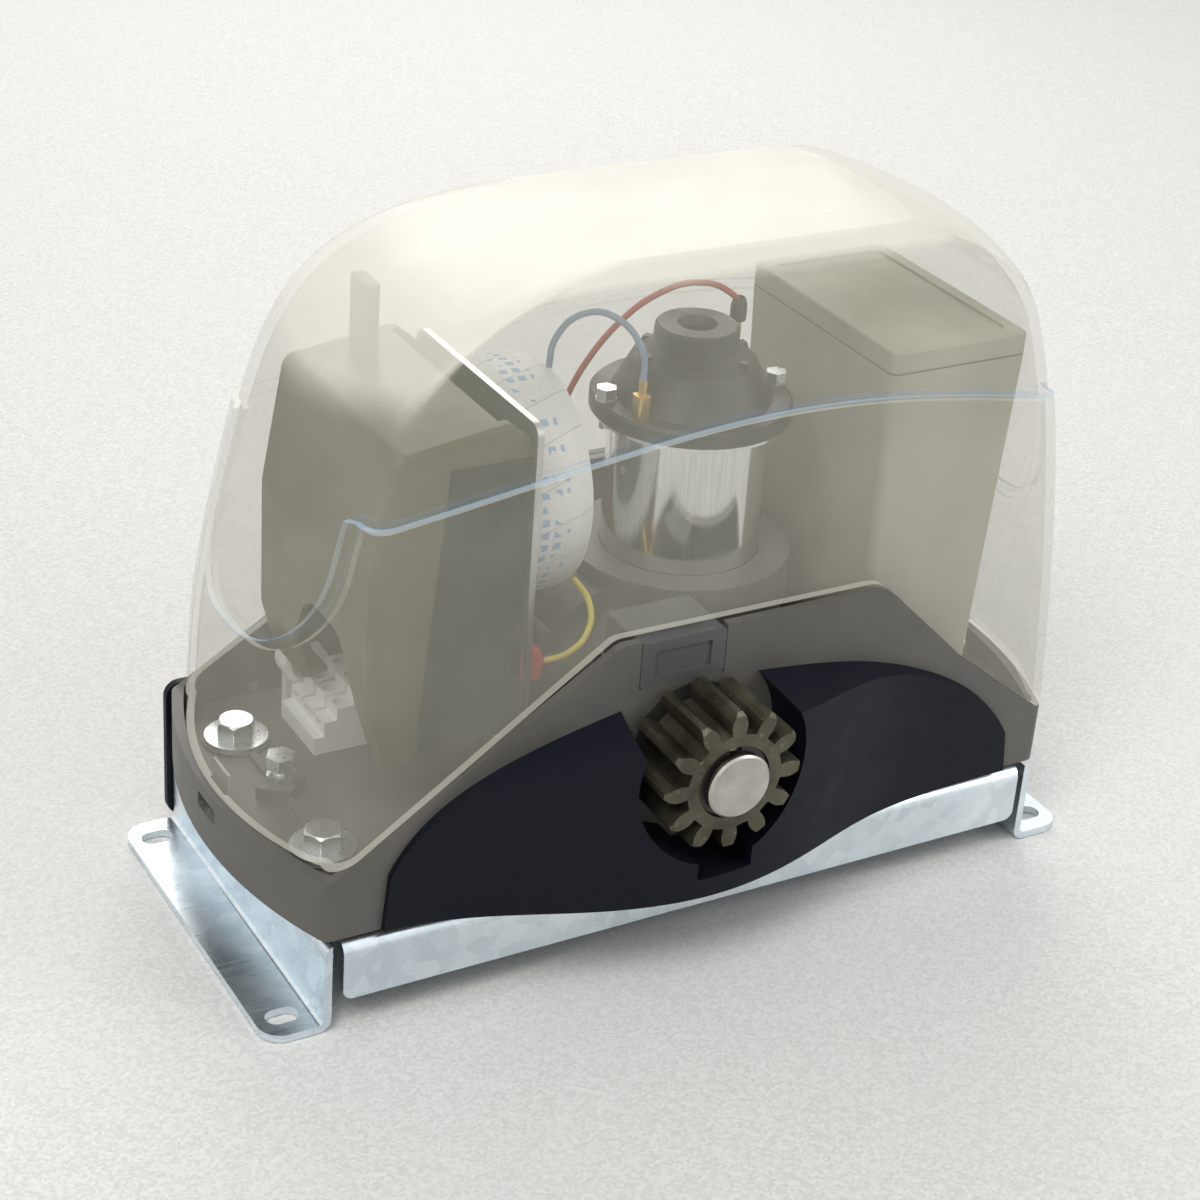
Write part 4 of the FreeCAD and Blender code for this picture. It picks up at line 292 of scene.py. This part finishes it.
def laminations(name):
    """Stacked steel sheets: thin dark joints across the stack."""
    g = Graph(name)
    z = g.axes()[2]
    joints = g.remap(g.math("SINE", g.math("MULTIPLY", z, 2 * math.pi / (1.0 * MM))), -1, -0.6, 0, 1)
    g.colour(g.blend(joints, (0.07, 0.065, 0.06), (0.34, 0.34, 0.35)))
    g.rough(g.noise(300), 0.35, 0.5)
    g.bump(joints, 0.1 * MM, 0.5)
    g.fixed(Metallic=0.9)
    return g.material


def turned_steel(name, origin, axis):
    """Machined steel: fine turning rings about an axis and a soft radial glint."""
    g = Graph(name)
    coords = list(g.axes(g.stretched(origin=origin)))
    along = coords.pop("xyz".index(axis))
    squares = [g.math("POWER", across, 2.0) for across in coords]
    radius = g.math("SQRT", g.math("ADD", *squares))
    run = g.math("ADD", radius, along)
    rings = g.math("SINE", g.math("MULTIPLY", run, 2 * math.pi / (0.5 * MM)))
    tint = g.noise(55, 4, 0.6)
    g.colour(g.blend(g.remap(tint, 0.35, 0.65, 0, 1), (0.40, 0.39, 0.35), (0.58, 0.57, 0.53)))
    g.rough(tint, 0.24, 0.36)
    g.bump(g.remap(rings, -1, 1, 0, 1), 0.02 * MM, 0.4)
    g.fixed(Metallic=1.0, Anisotropic=0.65)
    tangent = g.node("ShaderNodeTangent", direction_type="RADIAL", axis=axis.upper())
    g.link(tangent.outputs[0], g.shader.inputs["Tangent"])
    return g.material


def oiled_gear(name):
    """Dark oiled gear steel: hobbing marks along the teeth, olive grease film and bright flecks."""
    g = Graph(name)
    film = g.noise(48, 5, 0.6)
    hob = g.noise(1100, 2, 0.5, g.stretched((1, 0.08, 1)))
    fleck = g.remap(g.noise(420, 4, 0.7), 0.6, 0.72, 0, 1)
    tone = g.blend(g.remap(film, 0.35, 0.68, 0, 1), (0.052, 0.048, 0.032), (0.135, 0.126, 0.088))
    g.colour(g.blend(g.math("MULTIPLY", fleck, 0.4), tone, (0.32, 0.31, 0.25)))
    g.rough(film, 0.3, 0.5)
    g.bump(hob, 0.05 * MM, 0.5)
    g.fixed(Metallic=0.85, Coat_Weight=0.2, Coat_Roughness=0.25)
    return g.material


def drawn_chrome(name):
    """Bright plated can: faint vertical draw lines and a few smudges."""
    g = Graph(name)
    drawn = g.noise(1500, 2, 0.5, g.stretched((1, 1, 0.03)))
    smudge = g.noise(40, 5, 0.6)
    g.colour(g.blend(g.remap(drawn, 0.3, 0.7, 0, 1), (0.70, 0.71, 0.72), (0.86, 0.87, 0.87)))
    g.rough(smudge, 0.07, 0.2)
    g.bump(drawn, 0.006 * MM, 0.3)
    g.fixed(Metallic=1.0)
    return g.material


def wrapped_tape(name):
    """Transformer: white tape wound in slanting laps, with a band of plain blue blocks printed on it."""
    g = Graph(name)
    low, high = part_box("transformer")
    x, y, z = g.axes(g.stretched(origin=tuple((low + high) / 2)))
    turn = g.math("ARCTAN2", z, y)
    laps = g.math("FRACT", g.math("ADD", g.math("MULTIPLY", turn, TAPE_LAPS / (2 * math.pi)),
                                  g.math("MULTIPLY", x, 22.0)))
    lap_edge = g.remap(laps, 0.0, 0.06, 0, 1)
    weave = g.noise(1500, 3)
    white = g.blend(g.remap(weave, 0.3, 0.7, 0, 1), (0.76, 0.76, 0.74), (0.88, 0.88, 0.86))
    tape = g.blend(lap_edge, (0.55, 0.55, 0.54), white)
    column = g.math("FRACT", g.math("MULTIPLY", turn, BLOCK_COLUMNS / (2 * math.pi)))
    row = g.math("FRACT", g.math("MULTIPLY", x, 1 / BLOCK_PITCH))
    block = g.math("MULTIPLY", g.math("GREATER_THAN", column, 0.45), g.math("GREATER_THAN", row, 0.4))
    random = g.axes(g.cells(230, "Color"))[0]
    block = g.math("MULTIPLY", block, g.math("GREATER_THAN", random, 0.45))
    band = g.math("LESS_THAN", g.math("ABSOLUTE", g.math("ADD", x, BAND_OFFSET)), BAND_HALF_WIDTH)
    g.colour(g.blend(g.math("MULTIPLY", block, band), tape, (0.36, 0.50, 0.70)))
    g.rough(weave, 0.45, 0.6)
    g.bump(g.math("ADD", lap_edge, g.math("MULTIPLY", weave, 0.2)), 0.15 * MM, 0.5)
    return g.material


def board_face(name):
    """Circuit board: green mask over copper tracks, with pads and faint glass weave."""
    g = Graph(name)
    tracks = g.node("ShaderNodeTexBrick", offset=0.5)
    tracks.inputs["Scale"].default_value = 260
    tracks.inputs["Mortar Size"].default_value = 0.06
    swap = g.node("ShaderNodeCombineXYZ")
    _, y, z = g.axes()
    g.link(y, swap.inputs[0])
    g.link(z, swap.inputs[1])
    g.link(swap.outputs[0], tracks.inputs["Vector"])
    line = tracks.outputs["Fac"]
    pads = g.remap(g.cells(420), 0.1, 0.14, 1, 0)
    weave = g.noise(1900, 2)
    mask = g.blend(line, (0.02, 0.16, 0.07), (0.05, 0.30, 0.13))
    mask = g.blend(g.remap(weave, 0.3, 0.7, 0, 0.3), mask, (0.03, 0.10, 0.05))
    g.colour(g.blend(pads, mask, (0.60, 0.58, 0.45)))
    g.rough(weave, 0.28, 0.4)
    g.bump(line, 0.05 * MM, 0.4)
    return g.material


def seam_height(g, x):
    """The height of the cover's seam line along x, read from a curve through its wave."""
    curve = g.node("ShaderNodeFloatCurve")
    points = curve.mapping.curves[0].points
    span = SEAM_WAVE[-1][0] * MM
    stops = [((px * MM + span) / (2 * span), pz * MM / SEAM_TOP) for px, pz in SEAM_WAVE]
    points[0].location = stops[0]
    points[1].location = stops[-1]
    for stop in stops[1:-1]:
        points.new(*stop)
    curve.mapping.update()
    g.link(g.remap(x, -span, span, 0, 1), curve.inputs["Value"])
    return g.math("MULTIPLY", curve.outputs[0], SEAM_TOP)


def end_dip(g, y, z):
    """The distance to the wide round-cornered dip of the seam in each end wall, below 0 inside it."""
    across = g.math("MAXIMUM", g.math("SUBTRACT", g.math("ABSOLUTE", y), DIP_HALF_FLAT), 0.0)
    below = g.math("MAXIMUM", g.math("SUBTRACT", DIP_CENTRE_Z, z), 0.0)
    squares = [g.math("MULTIPLY", side, side) for side in (across, below)]
    return g.math("SUBTRACT", g.math("SQRT", g.math("ADD", *squares)), DIP_RADIUS)


def seam_line(g, x, y, z):
    """How strongly each point lies on the seam line: the wave, and the dip below it at each end."""
    seam = seam_height(g, x)
    dip = end_dip(g, y, z)
    from_centre = g.math("ABSOLUTE", g.math("SUBTRACT", x, DIP_CENTRE_X))
    at_end = g.math("GREATER_THAN", from_centre, DIP_FROM_X)
    in_dip = g.math("MULTIPLY", at_end, g.math("LESS_THAN", dip, 0.0))
    wave_line = g.remap(g.math("ABSOLUTE", g.math("SUBTRACT", z, seam)), *SEAM_LINE, 1, 0)
    wave_line = g.math("MULTIPLY", wave_line, g.math("SUBTRACT", 1.0, in_dip))
    dip_line = g.remap(g.math("ABSOLUTE", dip), *SEAM_LINE, 0.7, 0)
    dip_line = g.math("MULTIPLY", dip_line, g.math("MULTIPLY", at_end, g.math("LESS_THAN", z, seam)))
    front = g.remap(y, 0.0, 25 * MM, 0.8, 0.15)
    return g.math("MULTIPLY", g.math("MAXIMUM", wave_line, dip_line), front)


def clear_cover(name):
    """Milky see-through plastic: a warm tint, a painted highlight that makes the up-facing faces much
    lighter, a film denser over the top, a fine bluish seam line.
    """
    g = Graph(name)
    x, y, z = g.axes()
    haze = g.noise(30, 4, 0.6)
    on_seam = seam_line(g, x, y, z)
    facing = g.axes(g.node("ShaderNodeNewGeometry").outputs["Normal"])[2]
    # Painted highlight: faces turned upwards get a much lighter colour, standing in for the light from
    # above; the same mask also makes the film denser there.
    top_sheen_and_film = g.eased(g.math("ABSOLUTE", facing), 0.40, 0.62, 0, 1)
    tone = g.blend(top_sheen_and_film, (0.54, 0.525, 0.43), (0.86, 0.84, 0.74))
    tone = g.blend(g.remap(haze, 0.35, 0.65, 0, 0.3), tone, (0.66, 0.645, 0.56))
    g.colour(g.blend(g.math("MULTIPLY", on_seam, 0.9), tone, (0.25, 0.42, 0.62)))
    film = g.math("ADD", g.remap(top_sheen_and_film, 0, 1, 0.165, 0.44), g.remap(haze, 0.35, 0.65, -0.01, 0.02))
    g.link(g.math("ADD", film, g.math("MULTIPLY", on_seam, 0.14)), g.shader.inputs["Alpha"])
    g.rough(haze, 0.26, 0.38)
    g.bump(g.cells(1300), 0.01 * MM, 0.25)
    g.fixed(IOR=1.3)
    return g.material


def smoked_plastic(name, base, alpha):
    """Smoky half-clear plastic of the control box's tub."""
    g = Graph(name)
    flow = g.noise(24, 3)
    fine = g.cells(1300)
    g.colour(g.blend(g.remap(flow, 0.35, 0.65, 0, 1), shade(base, 0.85), shade(base, 1.2)))
    g.rough(flow, 0.3, 0.45)
    g.bump(fine, 0.01 * MM, 0.2)
    g.fixed(Alpha=alpha, Specular_IOR_Level=0.3)
    return g.material


FINISHES = {
    "zinc_plate": zinc_sheet("zinc_plate"),
    "zinc_fixings": sheet_metal("zinc_fixings", (0.72, 0.75, 0.76), 0.22, 0.4, spread=0.14),
    "cast_casing": cast_paint("cast_casing", (0.104, 0.099, 0.088)),
    "bearing_steel": sheet_metal("bearing_steel", (0.60, 0.60, 0.60), 0.15, 0.3),
    "seal_rubber": soft_rubber("seal_rubber", (0.03, 0.03, 0.03)),
    "panel_plastic": moulded("panel_plastic", (0.004, 0.005, 0.010), 0.42, 0.56, 1200, gloss=0.16),
    "black_plastic": moulded("black_plastic", (0.022, 0.021, 0.020), 0.35, 0.5),
    "shaft_steel": turned_steel("shaft_steel", centre_of("output_shaft"), "y"),
    "pinion_steel": oiled_gear("pinion_steel"),
    "spring_steel": sheet_metal("spring_steel", (0.07, 0.065, 0.06), 0.3, 0.45),
    "wheel_bronze": sheet_metal("wheel_bronze", (0.60, 0.38, 0.16), 0.25, 0.4),
    "pressed_steel": sheet_metal("pressed_steel", (0.52, 0.53, 0.54), 0.25, 0.42),
    "can_chrome": drawn_chrome("can_chrome"),
    "ferrite": moulded("ferrite", (0.06, 0.06, 0.065), 0.5, 0.7),
    "brass": sheet_metal("brass", (0.70, 0.50, 0.20), 0.22, 0.4),
    "lamination": laminations("lamination"),
    "copper_winding": wound_copper("copper_winding"),
    "plate_steel": sheet_metal("plate_steel", (0.66, 0.67, 0.66), 0.3, 0.45, (1, 1, 0.05)),
    "transformer_tape": wrapped_tape("transformer_tape"),
    "lid_plastic": moulded("lid_plastic", (0.085, 0.083, 0.045), 0.34, 0.5, 1100, 0.06 * MM),
    "base_plastic": smoked_plastic("base_plastic", (0.018, 0.024, 0.018), 0.80),
    "board_green": board_face("board_green"),
    "relay_plastic": moulded("relay_plastic", (0.60, 0.59, 0.54), 0.35, 0.5),
    "terminal_green": moulded("terminal_green", (0.05, 0.25, 0.10), 0.35, 0.5),
    "capacitor_sleeve": moulded("capacitor_sleeve", (0.03, 0.035, 0.08), 0.25, 0.4, coat=0.3),
    "white_plastic": moulded("white_plastic", (0.78, 0.78, 0.75), 0.35, 0.5),
    "cradle_plastic": moulded("cradle_plastic", (0.08, 0.08, 0.08), 0.4, 0.55),
    "battery_plastic": moulded("battery_plastic", (0.41, 0.395, 0.325), 0.45, 0.6, 1000, 0.04 * MM),
    "plug_red": moulded("plug_red", (0.62, 0.03, 0.03), 0.3, 0.45, coat=0.2),
    "wire_blue": soft_rubber("wire_blue", (0.24, 0.33, 0.46)),
    "wire_red": soft_rubber("wire_red", (0.50, 0.045, 0.035)),
    "wire_yellow": soft_rubber("wire_yellow", (0.76, 0.62, 0.08)),
    "clear_cover": clear_cover("clear_cover"),
}
OWN_FINISH = {"worm_shaft": turned_steel("rotor_steel", centre_of("worm_shaft"), "z")}


def dress(obj, material):
    """One material over a whole object."""
    obj.data.materials.clear()
    obj.data.materials.append(material)


for part in frame["record"]["subparts"]:
    node = part["node"]
    dress(NODES[node], OWN_FINISH.get(node, FINISHES[part["material_slot"]]))


# ---- pieces made here ----------------------------------------------------------------------------

def turned_piece(name, steps, place, slot):
    """A round piece turned from (radius, height) steps in mm, closed from its last step to its first."""
    mesh = bmesh.new()
    turns = [2 * math.pi * turn / TURNED_SIDES for turn in range(TURNED_SIDES)]
    rings = [[mesh.verts.new((radius * MM * math.cos(turn), radius * MM * math.sin(turn), height * MM))
              for turn in turns] for radius, height in steps]
    for lower, upper in zip(rings, rings[1:] + rings[:1]):
        for index in range(len(turns)):
            mesh.faces.new((lower[index - 1], lower[index], upper[index], upper[index - 1]))
    bmesh.ops.recalc_face_normals(mesh, faces=mesh.faces)
    data = bpy.data.meshes.new(name)
    mesh.to_mesh(data)
    mesh.free()
    made = bpy.data.objects.new(name, data)
    bpy.context.scene.collection.objects.link(made)
    made.location = [side * MM for side in place]
    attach(made, "frame")
    data.materials.append(FINISHES[slot])


# A soft boot over the terminal at the end of the red wire.
turned_piece("red_wire_boot", ((1.9, 0), (2.9, 0), (3.1, 1), (3.1, 6), (2.4, 8.5), (2.0, 9), (1.9, 8.6)),
             (48.5, 12, 207), "seal_rubber")


# ---- floor, light and camera ---------------------------------------------------------------------

def concrete(name):
    """Pale fine-grained concrete with small stones and soft patches."""
    g = Graph(name)
    grit = g.noise(620, 4, 0.7)
    patches = g.noise(5, 3)
    stones = g.cells(800, "Color")
    level = g.axes(stones)[0]
    mixed = g.math("ADD", g.math("MULTIPLY", grit, 0.6), g.math("MULTIPLY", level, 0.4))
    tone = g.blend(g.remap(mixed, 0.3, 0.7, 0, 1), (0.60, 0.595, 0.575), (0.74, 0.735, 0.715))
    g.colour(g.blend(g.remap(patches, 0.3, 0.7, 0, 0.35), tone, (0.68, 0.675, 0.66)))
    g.rough(grit, 0.7, 0.9)
    g.bump(grit, 0.15 * MM, 0.3)
    return g.material


def floor():
    """Large flat floor under the object."""
    mesh = bpy.data.meshes.new("floor")
    signs = ((-1, -1), (1, -1), (1, 1), (-1, 1))
    corners = [(x * FLOOR_HALF, y * FLOOR_HALF, FLOOR_LEVEL) for x, y in signs]
    mesh.from_pydata(corners, [], [(0, 1, 2, 3)])
    made = bpy.data.objects.new("floor", mesh)
    bpy.context.scene.collection.objects.link(made)
    dress(made, concrete("floor_concrete"))


def world():
    """Soft pale studio surround, white where the camera or a mirror sees it."""
    scene_world = bpy.data.worlds.new("studio")
    bpy.context.scene.world = scene_world
    scene_world.use_nodes = True
    tree = scene_world.node_tree
    background = tree.nodes["Background"]
    background.inputs["Color"].default_value = (0.95, 0.97, 1.0, 1)
    background.inputs["Strength"].default_value = 0.55
    white = tree.nodes.new("ShaderNodeBackground")
    white.inputs["Color"].default_value = (1, 1, 1, 1)
    white.inputs["Strength"].default_value = 1.0
    ray = tree.nodes.new("ShaderNodeLightPath")
    seen = tree.nodes.new("ShaderNodeMath")
    seen.operation = "MAXIMUM"
    tree.links.new(ray.outputs["Is Camera Ray"], seen.inputs[0])
    tree.links.new(ray.outputs["Is Glossy Ray"], seen.inputs[1])
    mixed = tree.nodes.new("ShaderNodeMixShader")
    tree.links.new(seen.outputs[0], mixed.inputs[0])
    tree.links.new(background.outputs[0], mixed.inputs[1])
    tree.links.new(white.outputs[0], mixed.inputs[2])
    tree.links.new(mixed.outputs[0], tree.nodes["World Output"].inputs["Surface"])


def lamp(name, place, size, power, colour=(1, 1, 1)):
    """A soft square lamp turned towards the object's middle."""
    data = bpy.data.lights.new(name, "AREA")
    data.size = size
    data.energy = power
    data.color = colour
    made = bpy.data.objects.new(name, data)
    bpy.context.scene.collection.objects.link(made)
    made.location = place
    aim = Vector(LAMP_AIM) - Vector(place)
    made.rotation_euler = aim.to_track_quat("-Z", "Y").to_euler()


def camera():
    """The view from the front left and above."""
    data = bpy.data.cameras.new("camera")
    data.sensor_width = 36.0
    data.lens = 78.57
    data.clip_start = 0.01
    made = bpy.data.objects.new("camera", data)
    bpy.context.scene.collection.objects.link(made)
    axes = Matrix((Vector(CAMERA_RIGHT), Vector(CAMERA_UP), -Vector(CAMERA_FORWARD)))
    made.matrix_world = Matrix.Translation(CAMERA_PLACE) @ axes.transposed().to_4x4()
    bpy.context.scene.camera = made


floor()
world()
lamp("key", (-0.9, -0.7, 1.5), 0.8, 17, (1.0, 0.98, 0.94))
lamp("fill", (1.3, -1.1, 1.0), 1.0, 9, (0.95, 0.97, 1.0))
lamp("back", (0.5, 1.3, 1.2), 1.0, 14, (1.0, 0.97, 0.92))
camera()
bpy.context.scene.view_settings.view_transform = "Standard"
